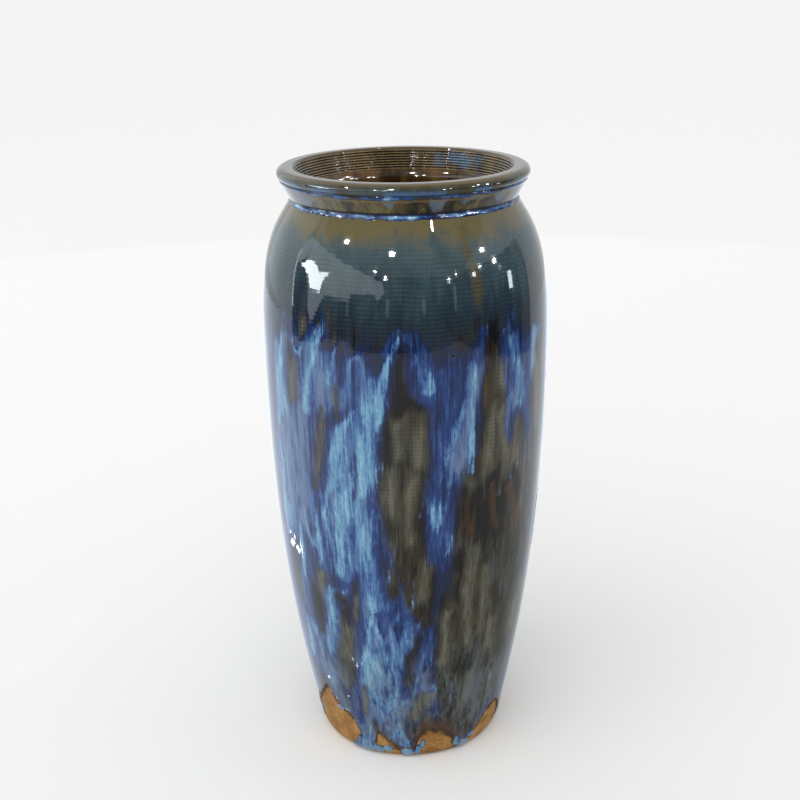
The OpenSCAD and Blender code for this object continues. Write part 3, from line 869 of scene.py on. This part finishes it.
# ---------------------------------------------------------------- materials
class Paint:
    """Builds one node material."""

    def __init__(self, name, **shader):
        self.material = bpy.data.materials.new(name)
        self.material.use_nodes = True
        self.tree = self.material.node_tree
        self.shader = self.tree.nodes["Principled BSDF"]
        for key, value in shader.items():
            self.shader.inputs[key.replace("_", " ")].default_value = value
        self.place = self.add("ShaderNodeTexCoord").outputs["Object"]

    def add(self, kind, **settings):
        node = self.tree.nodes.new(kind)
        for key, value in settings.items():
            setattr(node, key, value)
        return node

    def feed(self, socket, value):
        if isinstance(value, bpy.types.NodeSocket):
            self.tree.links.new(value, socket)
        elif isinstance(value, (tuple, list)) and len(value) == 3 and socket.type == "RGBA":
            socket.default_value = (*value, 1)
        else:
            socket.default_value = value

    def calc(self, operation, a, b=0.0, c=0.0, clamp=False):
        node = self.add("ShaderNodeMath", operation=operation, use_clamp=clamp)
        for socket, value in zip(node.inputs, (a, b, c)):
            self.feed(socket, value)
        return node.outputs[0]

    def ramp(self, value, low, high, to_low=0.0, to_high=1.0):
        node = self.add("ShaderNodeMapRange", interpolation_type="SMOOTHSTEP")
        for socket, given in zip(node.inputs, (value, low, high, to_low, to_high)):
            self.feed(socket, given)
        return node.outputs[0]

    def mix(self, amount, a, b, kind="MIX"):
        node = self.add("ShaderNodeMix", data_type="RGBA", blend_type=kind)
        self.feed(node.inputs["Factor"], amount)
        self.feed(node.inputs[6], a)
        self.feed(node.inputs[7], b)
        return node.outputs[2]

    def field(self, name):
        return self.add("ShaderNodeAttribute", attribute_name=name).outputs["Fac"]

    def stretched(self, tall, shift=0.0):
        node = self.add("ShaderNodeMapping")
        node.inputs["Scale"].default_value = (1, 1, 1 / tall)
        node.inputs["Location"].default_value = (shift, shift, shift)
        self.feed(node.inputs["Vector"], self.place)
        return node.outputs[0]

    def grain(self, size, tall=1.0, detail=3.0, rough=0.55, twist=0.0, shift=0.0):
        """Noise from 0 to 1 in cells of size mm, tall times as high."""
        node = self.add("ShaderNodeTexNoise")
        self.feed(node.inputs["Vector"], self.stretched(tall, shift))
        for key, value in (("Scale", 1 / (size * MM)), ("Detail", detail),
                           ("Roughness", rough), ("Distortion", twist)):
            node.inputs[key].default_value = value
        return node.outputs["Fac"]

    def times(self, a, b, clamp=False):
        return self.calc("MULTIPLY", a, b, clamp=clamp)

    def about(self, value, strength):
        """A noise as a swing to either side of nought, mostly within about half the strength."""
        return self.times(self.calc("SUBTRACT", value, 0.5), 2.6 * strength)

    def sum(self, *values):
        total = values[0]
        for value in values[1:]:
            total = self.calc("ADD", total, value)
        return total

    def split(self):
        """The place as X, Y and Z, in metres."""
        node = self.add("ShaderNodeSeparateXYZ")
        self.feed(node.inputs[0], self.place)
        return node.outputs

    def distance(self, place, point):
        """How far a place is from a point, in mm."""
        node = self.add("ShaderNodeVectorMath", operation="DISTANCE")
        self.feed(node.inputs[0], place)
        node.inputs[1].default_value = point
        return self.times(node.outputs["Value"], 1 / MM)

    def bump(self, value, distance_mm, strength=1.0):
        node = self.add("ShaderNodeBump")
        node.inputs["Strength"].default_value = strength
        node.inputs["Distance"].default_value = distance_mm * MM
        self.feed(node.inputs["Height"], value)
        self.feed(self.shader.inputs["Normal"], node.outputs[0])

    def finish(self, colour, roughness=None):
        self.feed(self.shader.inputs["Base Color"], colour)
        if roughness is not None:
            self.feed(self.shader.inputs["Roughness"], roughness)
        return self.material


GLASS = {"IOR": 1.5, "Roughness": 0.05}

SOOT = (0.006, 0.005, 0.005)
UMBER = (0.020, 0.015, 0.010)
RUST = (0.085, 0.040, 0.013)
OLIVE = (0.044, 0.041, 0.027)
KHAKI = (0.135, 0.128, 0.092)
DUSK = (0.016, 0.026, 0.048)
INDIGO = (0.008, 0.016, 0.060)
COBALT = (0.015, 0.042, 0.16)
MID = (0.052, 0.125, 0.29)
AZURE = (0.12, 0.27, 0.42)
PALE = (0.21, 0.40, 0.53)
ICE = (0.40, 0.57, 0.66)
MILK = (0.125, 0.155, 0.225)
LAVENDER = (0.135, 0.180, 0.280)
SLATE = (0.052, 0.088, 0.100)
DEEP_SLATE = (0.016, 0.028, 0.042)
GOLD = (0.125, 0.103, 0.042)
OCHRE = (0.15, 0.085, 0.016)


def on_glass(angle, z):
    """A place on the surface of the outside glass, in metres."""
    r = float(OUTSIDE.at(OUTSIDE.where(z))[0]) + COAT
    turn = math.radians(angle)
    return r * math.sin(turn) * MM, -r * math.cos(turn) * MM, z * MM


PINHOLE = on_glass(17.6, 224)


def blend(paint, value, stops):
    """A colour ramp through (place, colour) stops."""
    node = paint.add("ShaderNodeValToRGB")
    ramp = node.color_ramp
    ramp.interpolation = "EASE"
    while len(ramp.elements) < len(stops):
        ramp.elements.new(0.5)
    for element, (place, colour) in zip(ramp.elements, stops):
        element.position = place
        element.color = (*colour, 1)
    paint.feed(node.inputs[0], value)
    return node.outputs[0]


class GlassPaint(Paint):
    """Shared by every glaze on the outside, so that no seam shows between them."""

    def __init__(self, name):
        super().__init__(name, **GLASS)
        self.fibre = self.grain(1.9, 22, 5, 0.62, 1.0)
        self.wisp = self.grain(0.7, 16, 3, 0.6, 0.3, shift=0.5)
        self.blotch = self.grain(5, 5, 4, 0.6, 0.6, shift=0.9)
        self.cloud = self.grain(14, 2.5, 3, 0.6, shift=0.2)
        self.crinkle = self.grain(1.5, 2.2, 5, 0.66, 0.8, shift=1.7)
        self.z = self.times(self.split()["Z"], 1 / MM)

    def uneven(self, value, **strengths):
        """A value with a swing of some of the noises above added to it."""
        return self.sum(value, *(self.about(getattr(self, name), s) for name, s in strengths.items()))

    def brown(self):
        """Olive-brown glass with upright khaki and umber streaks."""
        tone = self.sum(self.times(self.field("tan"), 0.42), 0.22)
        tone = self.uneven(tone, fibre=0.30, blotch=0.34, wisp=0.12)
        tone = self.sum(tone, self.times(self.field("dark"), -0.30))
        colour = blend(self, tone, [(0.02, SOOT), (0.16, UMBER), (0.38, OLIVE), (0.85, KHAKI)])
        warm = self.uneven(self.field("rust"), fibre=0.4, blotch=0.8)
        colour = self.mix(self.ramp(warm, 0.2, 1.3, 0, 0.6), colour, RUST)
        veil = self.uneven(self.cloud, blotch=0.25, fibre=0.2)
        clear = self.times(self.field("dark"), -0.8)
        clear = self.sum(1.0, clear, self.times(self.field("rust"), -0.6))
        veil = self.times(self.ramp(veil, 0.48, 0.8, 0, 0.5), clear, clamp=True)
        return self.mix(veil, colour, (0.070, 0.088, 0.110))

    def slate(self):
        """The slate-teal second coat."""
        tone = self.uneven(0.5, cloud=0.5, fibre=0.15, blotch=0.3)
        low = self.mix(self.ramp(self.z, 248, 272), DEEP_SLATE, (0.034, 0.055, 0.062))
        return self.mix(self.ramp(tone, 0.0, 0.8), low, SLATE)

    def body(self):
        """Everything below the groove: brown base, slate shoulder, blue runs, a gold neck, and a painted
        reflection of the table low down.
        """
        brown = self.brown()
        level = self.uneven(self.z, blotch=14, fibre=4, cloud=6)
        slate = self.mix(self.ramp(level, 234, 268), DEEP_SLATE, self.slate())
        opened = self.ramp(self.uneven(self.field("open"), fibre=0.26, wisp=0.14), 0.38, 0.66)
        shut = self.calc("SUBTRACT", 1.0, opened)
        under = self.mix(self.times(self.ramp(level, 224, 244), shut), brown, slate)
        neck = self.uneven(self.z, cloud=7, fibre=2, blotch=5)
        under = self.mix(self.ramp(neck, 270, 281), under, self.gold())
        burnt = self.uneven(self.field("rust"), blotch=0.8, fibre=0.3)
        burnt = self.times(self.ramp(burnt, 0.2, 1.1, 0, 0.7), self.ramp(self.z, 238, 252))
        under = self.mix(burnt, under, (0.088, 0.066, 0.025))
        under = self.rings(under)
        streaks = self.uneven(self.about(self.fibre, 0.26), wisp=0.07, blotch=0.26, crinkle=0.08)
        amount = self.sum(self.field("blue"), streaks)
        feather = self.uneven(self.field("pale"), fibre=0.44, wisp=0.16, blotch=0.32, crinkle=0.26)
        feather = self.ramp(feather, 0.12, 1.08)
        lit = self.uneven(0.77, crinkle=0.14, fibre=0.17, blotch=0.22)
        amount = self.calc("MULTIPLY_ADD", self.calc("SUBTRACT", lit, amount), feather, amount)
        there = self.times(shut, self.ramp(level, 252, 222))
        there = self.times(there, self.ramp(amount, 0.0, 0.30))
        there = self.calc("MAXIMUM", there, self.ramp(feather, 0.08, 0.75))
        blue = blend(self, amount, [(0.12, DUSK), (0.30, INDIGO), (0.44, COBALT), (0.60, MID), (0.77, AZURE),
                                    (0.91, PALE), (1.0, ICE)])
        milky = self.uneven(self.blotch, cloud=0.4, fibre=0.3)
        milky = self.times(self.ramp(milky, 0.48, 0.75, 0, 0.7), self.ramp(self.field("blue"), 0.35, 0.62))
        blue = self.mix(self.times(milky, self.ramp(amount, 0.8, 0.6)), blue, MILK)
        clouded = self.uneven(self.field("milk"), fibre=0.35, blotch=0.35)
        clouded = self.times(self.ramp(clouded, 0.2, 1.2, 0, 0.6), self.ramp(feather, 0.8, 0.3))
        blue = self.mix(clouded, blue, LAVENDER)
        # Painted reflection: a grey-blue haze below about 85 mm that stands in for the pale table mirrored
        # in the glass.
        low = self.uneven(self.cloud, fibre=0.25, blotch=0.2)
        low = self.times(self.ramp(low, 0.35, 0.7, 0, 0.5), self.ramp(self.z, 85, 30))
        return self.pinhole(self.mix(low, self.mix(there, under, blue), (0.120, 0.145, 0.165)))

    def pinhole(self, colour):
        """A burst bubble in colour only: the pit is painted shade, near black, in a pale ring."""
        away = self.distance(self.place, PINHOLE)
        colour = self.mix(self.ramp(away, 1.7, 1.1, 0, 0.5), colour, (0.05, 0.07, 0.11))
        # painted shade: the pit
        return self.mix(self.ramp(away, 1.1, 0.7), colour, SOOT)

    def gold(self):
        """Where the glass is thin under the groove: olive-gold with ochre runs."""
        ochre = self.uneven(self.blotch, fibre=0.6)
        return self.mix(self.ramp(ochre, 0.55, 0.9, 0, 0.5), GOLD, OCHRE)

    def rings(self, colour):
        """The turning rings: the glass is a little thicker and darker between them."""
        place = self.split()
        turn = self.calc("ARCTAN2", place["X"], self.times(place["Y"], -1.0))
        climb = self.times(place["Z"], 2 * math.pi / (RING_PITCH * MM))
        wave = self.calc("SINE", self.sum(climb, turn, self.about(self.cloud, 3)))
        strength = self.times(self.ramp(self.z, 90, 245, 0.05, 0.15), self.ramp(self.z, 276, 262, 0.2, 1))
        strength = self.times(strength, self.ramp(self.blotch, 0.3, 0.7, 0.3, 1.3))
        dark = self.sum(1.0, self.times(self.calc("SUBTRACT", wave, 1.0), strength))
        node = self.add("ShaderNodeCombineColor")
        for socket in node.inputs:
            self.feed(socket, dark)
        return self.mix(1.0, colour, node.outputs[0], "MULTIPLY")

    def done(self, colour):
        self.bump(self.grain(1.1, 1, 2, 0.5), 0.006, 1.0)
        return self.finish(colour, self.ramp(self.cloud, 0.3, 0.7, 0.03, 0.07))


def outside_material():
    """The body's glass, and above the groove the collar's and lip's, by the distance walked."""
    paint = GlassPaint("outside_glass")
    colour = paint.body()
    walk = paint.uneven(paint.field("walk"), blotch=0.8, wisp=0.3)
    patchy = paint.uneven(paint.blotch, cloud=0.5, fibre=0.25)
    rim = blend(paint, patchy, [(0.30, SOOT), (0.42, (0.030, 0.022, 0.010)), (0.56, (0.070, 0.048, 0.014)),
                                (0.74, GOLD)])
    rim = paint.mix(paint.ramp(walk, 4.2, 2.4), rim, (0.008, 0.010, 0.022))
    taper = paint.calc("MULTIPLY_ADD", walk, 0.022, -0.17)
    drip = paint.sum(paint.uneven(paint.grain(9, 9, 1, 0.4, shift=3.1), blotch=0.06), taper)
    drip = paint.times(paint.ramp(drip, 0.50, 0.60, 0, 0.85), paint.ramp(walk, 2.4, 5.0))
    rim = paint.mix(drip, rim, (0.085, 0.125, 0.160))
    # Painted highlight: a gold-brown band along the collar's upper edge, just under the roll.
    ochre = paint.times(paint.ramp(walk, 8.4, 9.2), paint.ramp(walk, 10.6, 9.6))
    rim = paint.mix(paint.times(ochre, 0.6), rim, (0.15, 0.095, 0.030))
    roll = paint.mix(paint.ramp(patchy, 0.38, 0.66), (0.040, 0.034, 0.016), (0.042, 0.060, 0.062))
    rim = paint.mix(paint.ramp(walk, 10.8, 13.0), rim, roll)
    hung = paint.uneven(paint.grain(15, 9, 1, 0.4, shift=5.3), blotch=0.07)
    hung = paint.times(paint.ramp(hung, 0.46, 0.56, 0, 0.9), paint.ramp(walk, 15.6, 13.4))
    hung = paint.times(hung, paint.ramp(walk, 10.8, 12.2))
    rim = paint.mix(hung, rim, (0.050, 0.120, 0.250))
    rim = paint.mix(paint.ramp(walk, 15.4, 17.2, 0, 0.9), rim, (0.105, 0.072, 0.026))
    colour = paint.mix(paint.ramp(paint.field("walk"), -0.5, 1.5), colour, rim)
    frayed = paint.uneven(paint.field("edge"), blotch=2.4)
    rusty = paint.uneven(paint.field("edge"), cloud=8, blotch=4)
    colour = paint.mix(paint.ramp(rusty, 6.5, 1.0, 0, 0.8), colour, (0.072, 0.036, 0.018))
    edge = paint.ramp(frayed, 0.0, 2.4)
    return paint.done(paint.mix(edge, (0.026, 0.016, 0.012), colour))


def glass_material(name):
    paint = GlassPaint(name)
    return paint.done(paint.body())


def pooled_material(name, dark, bright, brighter):
    """Glass pooled in a ring: dark at its edges, then blue, and bright where it is thickest."""
    paint = Paint(name, **GLASS)
    patch = paint.grain(9, 1, 3, 0.6)
    fleck = paint.grain(1.3, 0.6, 4, 0.65, shift=0.6)
    much = paint.calc("MULTIPLY_ADD", paint.field("swell"), 0.6, brighter)
    much = paint.sum(much, paint.about(patch, 0.75), paint.about(fleck, 0.26))
    colour = blend(paint, much, [(0.16, dark), (0.36, COBALT), (0.55, MID), (0.75, AZURE), (1.0, bright)])
    return paint.finish(colour, paint.ramp(fleck, 0.3, 0.7, 0.04, 0.09))


def liner_material():
    """Amber-brown glass: thin and gold on the ribs, nearly black between them. On the ribs this is partly
    painted light: the crests carry a painted highlight, brightened against the throat's shade, and the
    grooves painted shade.
    """
    paint = Paint("amber_liner_glass", **GLASS)
    rib = paint.field("rib")
    depth = paint.field("depth")
    broad = paint.grain(10, 3, 3, 0.6)
    fine = paint.grain(1.3, 0.5, 3, 0.6, shift=0.4)
    amber = paint.mix(paint.ramp(broad, 0.35, 0.65), (0.030, 0.014, 0.005), (0.135, 0.072, 0.020))
    height = paint.sum(rib, paint.about(fine, 0.3), paint.about(broad, 0.5))
    # Partly the glass's own thin and pooled colour, partly painted light: bright gold rib crests and
    # near-black grooves.
    ribs_with_painted_light = blend(paint, height, [(0.25, SOOT), (0.65, (0.085, 0.055, 0.022)), (1.0, (0.30, 0.20, 0.08))])
    tall = 0.4                   # the splash of blue in the throat is wider than it is high
    splash = paint.distance(paint.stretched(tall), (0.029, 0.044, 0.2945 / tall))
    ragged = paint.grain(6, 1, 4, 0.6, 0.5, shift=1.2)
    away = paint.sum(splash, paint.about(ragged, 18), paint.about(fine, 3))
    # The blue splash is also lighter on the rib crests and darker between them: painted light and shade.
    blue = paint.mix(paint.ramp(height, 0.2, 0.8), (0.030, 0.050, 0.080), (0.150, 0.230, 0.330))
    ribs_with_painted_light = paint.mix(paint.ramp(away, 15, 7, 0, 0.9), ribs_with_painted_light, blue)
    colour = paint.mix(paint.ramp(depth, 10.5, 12), ribs_with_painted_light, amber)
    colour = paint.mix(paint.ramp(depth, 1.5, 0.7, 0, 0.85), colour, (0.125, 0.088, 0.036))
    return paint.finish(colour, paint.ramp(broad, 0.3, 0.7, 0.05, 0.12))


def clay_material():
    """Bare toasted stoneware: turning lines, specks and a dark burnt edge under the glaze."""
    paint = Paint("bare_stoneware", Roughness=0.8, Specular_IOR_Level=0.2)
    line = paint.grain(1.1, 0.12, 4, 0.6)
    speck = paint.grain(0.7, 1, 4, 0.6, shift=0.5)
    patch = paint.grain(14, 0.7, 3, 0.6, shift=0.8)
    tone = paint.sum(paint.about(line, 0.45), paint.about(speck, 0.15), patch)
    colour = paint.mix(paint.ramp(tone, 0.3, 0.7), (0.19, 0.082, 0.018), (0.43, 0.235, 0.070))
    burnt = paint.sum(paint.field("edge"), paint.about(paint.grain(4, 1, 4, 0.6, shift=1.4), 4))
    colour = paint.mix(paint.ramp(burnt, -4.5, -0.5, 0, 0.9), colour, (0.045, 0.018, 0.008))
    paint.bump(paint.sum(line, speck), 0.10, 0.8)
    return paint.finish(colour, paint.ramp(speck, 0.3, 0.7, 0.68, 0.9))


# ---------------------------------------------------------------- the pot
def dress(piece, material, slot, *nodes):
    piece.data.materials.append(material)
    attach(piece, "root")
    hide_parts(*nodes)
    return piece


def make_pot():
    glass = glass_material("blue_glass")
    dress(make_clay(), clay_material(), "stoneware", "stoneware_body")
    dress(make_liner(), liner_material(), "liner_glaze", "liner_glaze")
    dress(make_base_glaze(), outside_material(), "base_glaze", "base_glaze")
    dress(make_shoulder_glaze(), glass_material("shoulder_glass"), "shoulder_glaze", "shoulder_glaze")
    dress(make_runs(), glass, "blue_glaze", "blue_glaze_runs")
    dress(make_drops(), glass, "blue_glaze", "foot_glaze_drops")
    neck = OUTSIDE.where(NECK_Z)
    neck_ring = make_ring("neck_bead", neck - 1.3, neck + 2.2, rise=0.8, seed=1, ragged=0.45)
    dress(neck_ring, pooled_material("pooled_neck_glass", INDIGO, (0.50, 0.66, 0.76), -0.04),
          "pooled_glaze", "neck_glaze_bead")
    lip = float(OUTSIDE.length - 9.0)
    lip_ring = make_ring("lip_bead", lip, lip + 3.4, rise=0.3, seed=2, ragged=0.6)
    dress(lip_ring, pooled_material("pooled_lip_glass", (0.030, 0.027, 0.020), PALE, -0.20),
          "pooled_glaze", "lip_glaze_bead")


# ---------------------------------------------------------------- camera, floor and light
def make_camera():
    """At the height and tilt that the vase is seen from."""
    distance, height = 2.10 * HEIGHT * MM, 1.33 * HEIGHT * MM
    yaw, pitch, roll = (math.radians(v) for v in (-0.29, 19.16, -0.84))
    forward = Vector((math.sin(yaw) * math.cos(pitch), math.cos(yaw) * math.cos(pitch), -math.sin(pitch)))
    level = Vector((math.cos(yaw), -math.sin(yaw), 0))
    upright = level.cross(forward)
    right = math.cos(roll) * level + math.sin(roll) * upright
    up = -math.sin(roll) * level + math.cos(roll) * upright
    data = bpy.data.cameras.new("camera")
    data.angle = math.radians(33.9)
    camera = link(bpy.data.objects.new("camera", data))
    axes = Matrix((right, up, -forward)).transposed().to_4x4()
    camera.matrix_world = Matrix.Translation((0, -distance, height)) @ axes
    bpy.context.scene.camera = camera
    return camera


def flat_card(name, corners):
    mesh = bpy.data.meshes.new(name)
    mesh.from_pydata([tuple(c) for c in corners], [], [tuple(range(len(corners)))])
    card = link(bpy.data.objects.new(name, mesh))
    return card


def only_in_reflections(thing):
    thing.visible_camera = False
    thing.visible_diffuse = False
    thing.visible_transmission = False
    thing.visible_volume_scatter = False
    thing.visible_shadow = False


def glow(name, strength, colour=(1, 1, 1)):
    material = bpy.data.materials.new(name)
    material.use_nodes = True
    tree = material.node_tree
    tree.nodes.clear()
    light = tree.nodes.new("ShaderNodeEmission")
    light.inputs["Strength"].default_value = strength
    light.inputs["Color"].default_value = (*colour, 1)
    out = tree.nodes.new("ShaderNodeOutputMaterial")
    tree.links.new(light.outputs[0], out.inputs["Surface"])
    return material


def reflect(card, material):
    """Lets only reflections see a card, in this material."""
    card.data.materials.append(material)
    only_in_reflections(card)


def mirror_spot(camera, angle, z):
    """Where on the pot a glint lies, and the way that the camera's ray leaves from there."""
    r, _, nr, nz = (float(v) for v in OUTSIDE.at(OUTSIDE.where(z)))
    turn = math.radians(angle)
    spot = Vector((r * math.sin(turn), -r * math.cos(turn), z)) * MM
    normal = Vector((nr * math.sin(turn), -nr * math.cos(turn), nz))
    look = (spot - camera.location).normalized()
    return spot, look - 2 * look.dot(normal) * normal


def mirror_card(camera, name, corners, away, material):
    """A card this many metres away, whose reflection has its corners at these (angle, height)."""
    places = []
    for angle, z in corners:
        spot, way = mirror_spot(camera, angle, z)
        places.append(spot + way * away)
    reflect(flat_card(name, places), material)


GLINTS = [
    # (angle, height, size in mm) of the small lamps seen in the shoulder
    (-24.5, 274, 60), (-5, 270, 85), (-11.5, 262.5, 45), (-7.5, 260, 40), (17, 258.5, 35),
    (20, 260.5, 35), (27.5, 259.5, 45), (30.5, 262.5, 40), (33, 269, 55), (38, 264, 60), (40.5, 260.5, 30),
    (12.5, 279.5, 20),
]
LAMP_AWAY = 2.6                  # metres


def make_lamps(camera):
    for i, (angle, z, size) in enumerate(GLINTS):
        spot, way = mirror_spot(camera, angle, z)
        data = bpy.data.lights.new(f"lamp_{i}", "AREA")
        data.shape = "DISK"
        data.size = 2 * size * MM
        data.energy = 14 * (size / 60) ** 2
        lamp = link(bpy.data.objects.new(f"lamp_{i}", data))
        lamp.location = spot + way * LAMP_AWAY
        lamp.rotation_euler = (-way).to_track_quat("-Z", "Y").to_euler()
        only_in_reflections(lamp)


def make_floor():
    """A pale floor, wide enough to fill every view."""
    wide = 14
    floor = flat_card("floor", [(-wide, -wide, 0), (wide, -wide, 0), (wide, wide, 0), (-wide, wide, 0)])
    paint = Paint("pale_floor", Roughness=0.9)
    weave = paint.grain(0.9, 1, 2, 0.5)
    paint.bump(weave, 0.05, 0.4)
    colour = paint.mix(paint.ramp(weave, 0.3, 0.7), (0.81, 0.81, 0.80), (0.85, 0.85, 0.84))
    floor.data.materials.append(paint.finish(colour))
    return floor


def make_world():
    """A pale surround to look at, another to be lit by, and one to be mirrored."""
    world = bpy.data.worlds.new("studio")
    bpy.context.scene.world = world
    world.use_nodes = True
    tree = world.node_tree
    back = tree.nodes["Background"]
    path = tree.nodes.new("ShaderNodeLightPath")
    mirrored = tree.nodes.new("ShaderNodeMix")
    seen = tree.nodes.new("ShaderNodeMix")
    mirrored.data_type = seen.data_type = "RGBA"
    mirrored.inputs[6].default_value = (0.80, 0.80, 0.80, 1)
    mirrored.inputs[7].default_value = (0.80, 0.86, 0.92, 1)
    seen.inputs[7].default_value = (0.90, 0.90, 0.89, 1)
    tree.links.new(path.outputs["Is Glossy Ray"], mirrored.inputs["Factor"])
    tree.links.new(path.outputs["Is Camera Ray"], seen.inputs["Factor"])
    tree.links.new(mirrored.outputs[2], seen.inputs[6])
    tree.links.new(seen.outputs[2], back.inputs["Color"])


def on_table(camera, angle, z):
    """The spot on the table that is mirrored at this place on the pot."""
    spot, way = mirror_spot(camera, angle, z)
    return spot + way * (0.002 - spot.z) / way.z


SPARKS = [
    # (angle, height, half width in degrees, half height in mm) of small white glints low on the pot
    (-61, 116, 2.4, 1.4), (-56.5, 115, 2.6, 2.6), (-53.5, 119, 1.0, 2.0), (-58, 121, 0.8, 1.6),
    (-27.5, 58, 0.7, 1.6), (-29, 61, 0.5, 1.0), (-35, 36, 0.8, 0.7), (-48, 43, 1.4, 0.8),
    (-50, 32, 2.0, 1.2), (-45, 30, 0.9, 1.4), (-38, 16, 1.6, 1.0), (-40, 22, 0.8, 1.6),
]


def make_sparks(camera):
    light = glow("spark_light", 14, (0.92, 0.97, 1.0))
    for i, (angle, z, wide, tall) in enumerate(SPARKS):
        rim = [(-1, -0.2), (-0.3, 0.4), (0.1, 1), (0.4, 0.3), (1, 0.5), (0.5, -0.3), (0.2, -1), (-0.2, -0.4)]
        corners = [on_table(camera, angle + x * wide, z + y * tall) for x, y in rim]
        reflect(flat_card(f"spark_{i}", corners), light)


def make_table(near_edge, far_edge):
    """What the glass mirrors of the table: bright on the window's side, shaded on the other."""
    sides = 72
    turns = [math.radians(360 / sides * i) for i in range(sides)]
    ring = [(r * math.cos(t), r * math.sin(t), 0.001) for r in (near_edge, far_edge) for t in turns]
    mesh = bpy.data.meshes.new("table_card")
    faces = [(i, (i + 1) % sides, (i + 1) % sides + sides, i + sides) for i in range(sides)]
    mesh.from_pydata(ring, [], faces)
    card = link(bpy.data.objects.new("table_card", mesh))
    material = glow("table_light", 1.0)
    tree = material.node_tree
    place = tree.nodes.new("ShaderNodeTexCoord")
    way = tree.nodes.new("ShaderNodeVectorMath")
    way.operation = "NORMALIZE"
    lean = tree.nodes.new("ShaderNodeVectorMath")
    lean.operation = "DOT_PRODUCT"
    lean.inputs[1].default_value = (-0.6, 0.8, 0)
    shade = tree.nodes.new("ShaderNodeValToRGB")
    stops = (0.06, (0.36, 0.37, 0.36)), (0.9, (1.05, 1.14, 1.26))
    for element, (at, colour) in zip(shade.color_ramp.elements, stops):
        element.position = at
        element.color = (*colour, 1)
    half = tree.nodes.new("ShaderNodeMath")
    half.operation = "MULTIPLY_ADD"
    half.inputs[1].default_value = half.inputs[2].default_value = 0.5
    tree.links.new(place.outputs["Object"], way.inputs[0])
    tree.links.new(way.outputs["Vector"], lean.inputs[0])
    tree.links.new(lean.outputs["Value"], half.inputs[0])
    tree.links.new(half.outputs[0], shade.inputs[0])
    reach = tree.nodes.new("ShaderNodeVectorMath")
    reach.operation = "LENGTH"
    nearer = tree.nodes.new("ShaderNodeMapRange")
    for socket, value in zip(list(nearer.inputs)[1:5], (0.06, 0.40, 0.85, 1.3)):
        socket.default_value = value
    tree.links.new(place.outputs["Object"], reach.inputs[0])
    tree.links.new(reach.outputs["Value"], nearer.inputs[0])
    tree.links.new(nearer.outputs[0], tree.nodes["Emission"].inputs["Strength"])
    tree.links.new(shade.outputs[0], tree.nodes["Emission"].inputs["Color"])
    reflect(card, material)


def make_lights(camera):
    """The window's light, and what the glass mirrors of the room, placed for the main camera."""
    data = bpy.data.lights.new("soft_window", "SUN")
    data.energy = 1.25
    data.angle = math.radians(70)
    sun = link(bpy.data.objects.new("soft_window", data))
    sun.rotation_euler = (math.radians(36), math.radians(-20), 0)
    sun.visible_glossy = False
    window = [(-45.8, 262), (-43, 263.6), (-40, 264.4), (-37, 263.2), (-35, 259.6), (-30, 260.6),
              (-33, 257.2), (-34.2, 251.6), (-39, 252.4), (-40.4, 257.6), (-43.4, 261.2)]
    mirror_card(camera, "window_card", window, 0.5, glow("window_light", 20, (0.90, 0.96, 1.0)))
    bar = [(-47.2, 268), (-48.4, 262), (-48.4, 243), (-47.8, 243), (-47.9, 262), (-46.8, 268)]
    mirror_card(camera, "window_bar", bar, 0.5, glow("bar_light", 6, (0.85, 0.95, 1.0)))
    screen = [(-42.6, 274), (-33, 269.6), (-24, 265), (-16, 261.4), (-8.4, 257.6), (-7.8, 253.6),
              (-10.2, 249.4), (-11.4, 252.4), (-14, 253.6), (-15.6, 252.2), (-20.8, 252), (-21.6, 249.4),
              (-31.8, 250.4), (-37.2, 238), (-39.6, 238), (-40, 253), (-43, 262), (-41, 269), (-43.4, 265),
              (-47.4, 262), (-46, 271)]
    mirror_card(camera, "screen_card", screen, 0.72, glow("screen_light", 2.1, (0.88, 0.95, 1.0)))
    strips = [(-6.6, 0.5, 251, 243), (7, 0.6, 251, 244), (19, 0.4, 256, 245), (-22, 0.3, 250, 242)]
    pale = glow("strip_light", 1.2, (0.8, 0.9, 1.0))
    for i, (angle, wide, top, low) in enumerate(strips):
        corners = [(angle - wide, top), (angle - wide, low), (angle + wide, low), (angle + wide, top)]
        mirror_card(camera, f"strip_{i}", corners, 0.6, pale)
    slit = [(43.8, 258), (43.8, 250), (46, 250), (46, 258)]
    mirror_card(camera, "slit_card", slit, 0.7, glow("slit_light", 14, (0.75, 0.9, 1.0)))
    dark = glow("dark_room", 0.08, (0.5, 0.7, 1.0))
    edge = [(-48, 230), (-30, 230), (-24, 231), (-22, 231), (-19, 226.5), (-9, 227), (5, 226.5), (10, 227),
            (15, 228.5), (18.5, 230), (21, 230), (25, 226.5), (30, 226), (31, 222), (40, 219.5), (50, 218),
            (56, 219)]
    front = [on_table(camera, angle, z) for angle, z in edge]
    for i in range(len(front) - 1):
        a, b = front[i], front[i + 1]
        far = [p + Vector((p.x, p.y, 0)).normalized() * 2.4 + Vector((0, 0, 1.1)) for p in (b, a)]
        shade = dark if b != front[-1] else glow("dim_room", 0.3, (0.8, 0.9, 1.0))
        reflect(flat_card(f"dark_card_{i}", [a, b, *far]), shade)
    roof = flat_card("roof_card", [(-4, -5, 1.0), (4, -5, 1.0), (4, 0.3, 3.4), (-4, 0.3, 3.4)])
    reflect(roof, glow("dim_ceiling", 0.42, (0.9, 0.97, 1.0)))
    make_table(near_edge=0.0485, far_edge=1.25)
    wall = flat_card("left_wall", [(-1.2, 0.14, 0.0), (-1.2, 1.8, 0.0), (-1.2, 1.8, 2.0), (-1.2, 0.14, 2.0)])
    reflect(wall, glow("left_wall_light", 1.4, (0.86, 0.95, 1.0)))
    make_sparks(camera)
    make_lamps(camera)


bpy.context.scene.view_settings.view_transform = "Standard"
make_pot()
camera = make_camera()
make_floor()
make_world()
make_lights(camera)
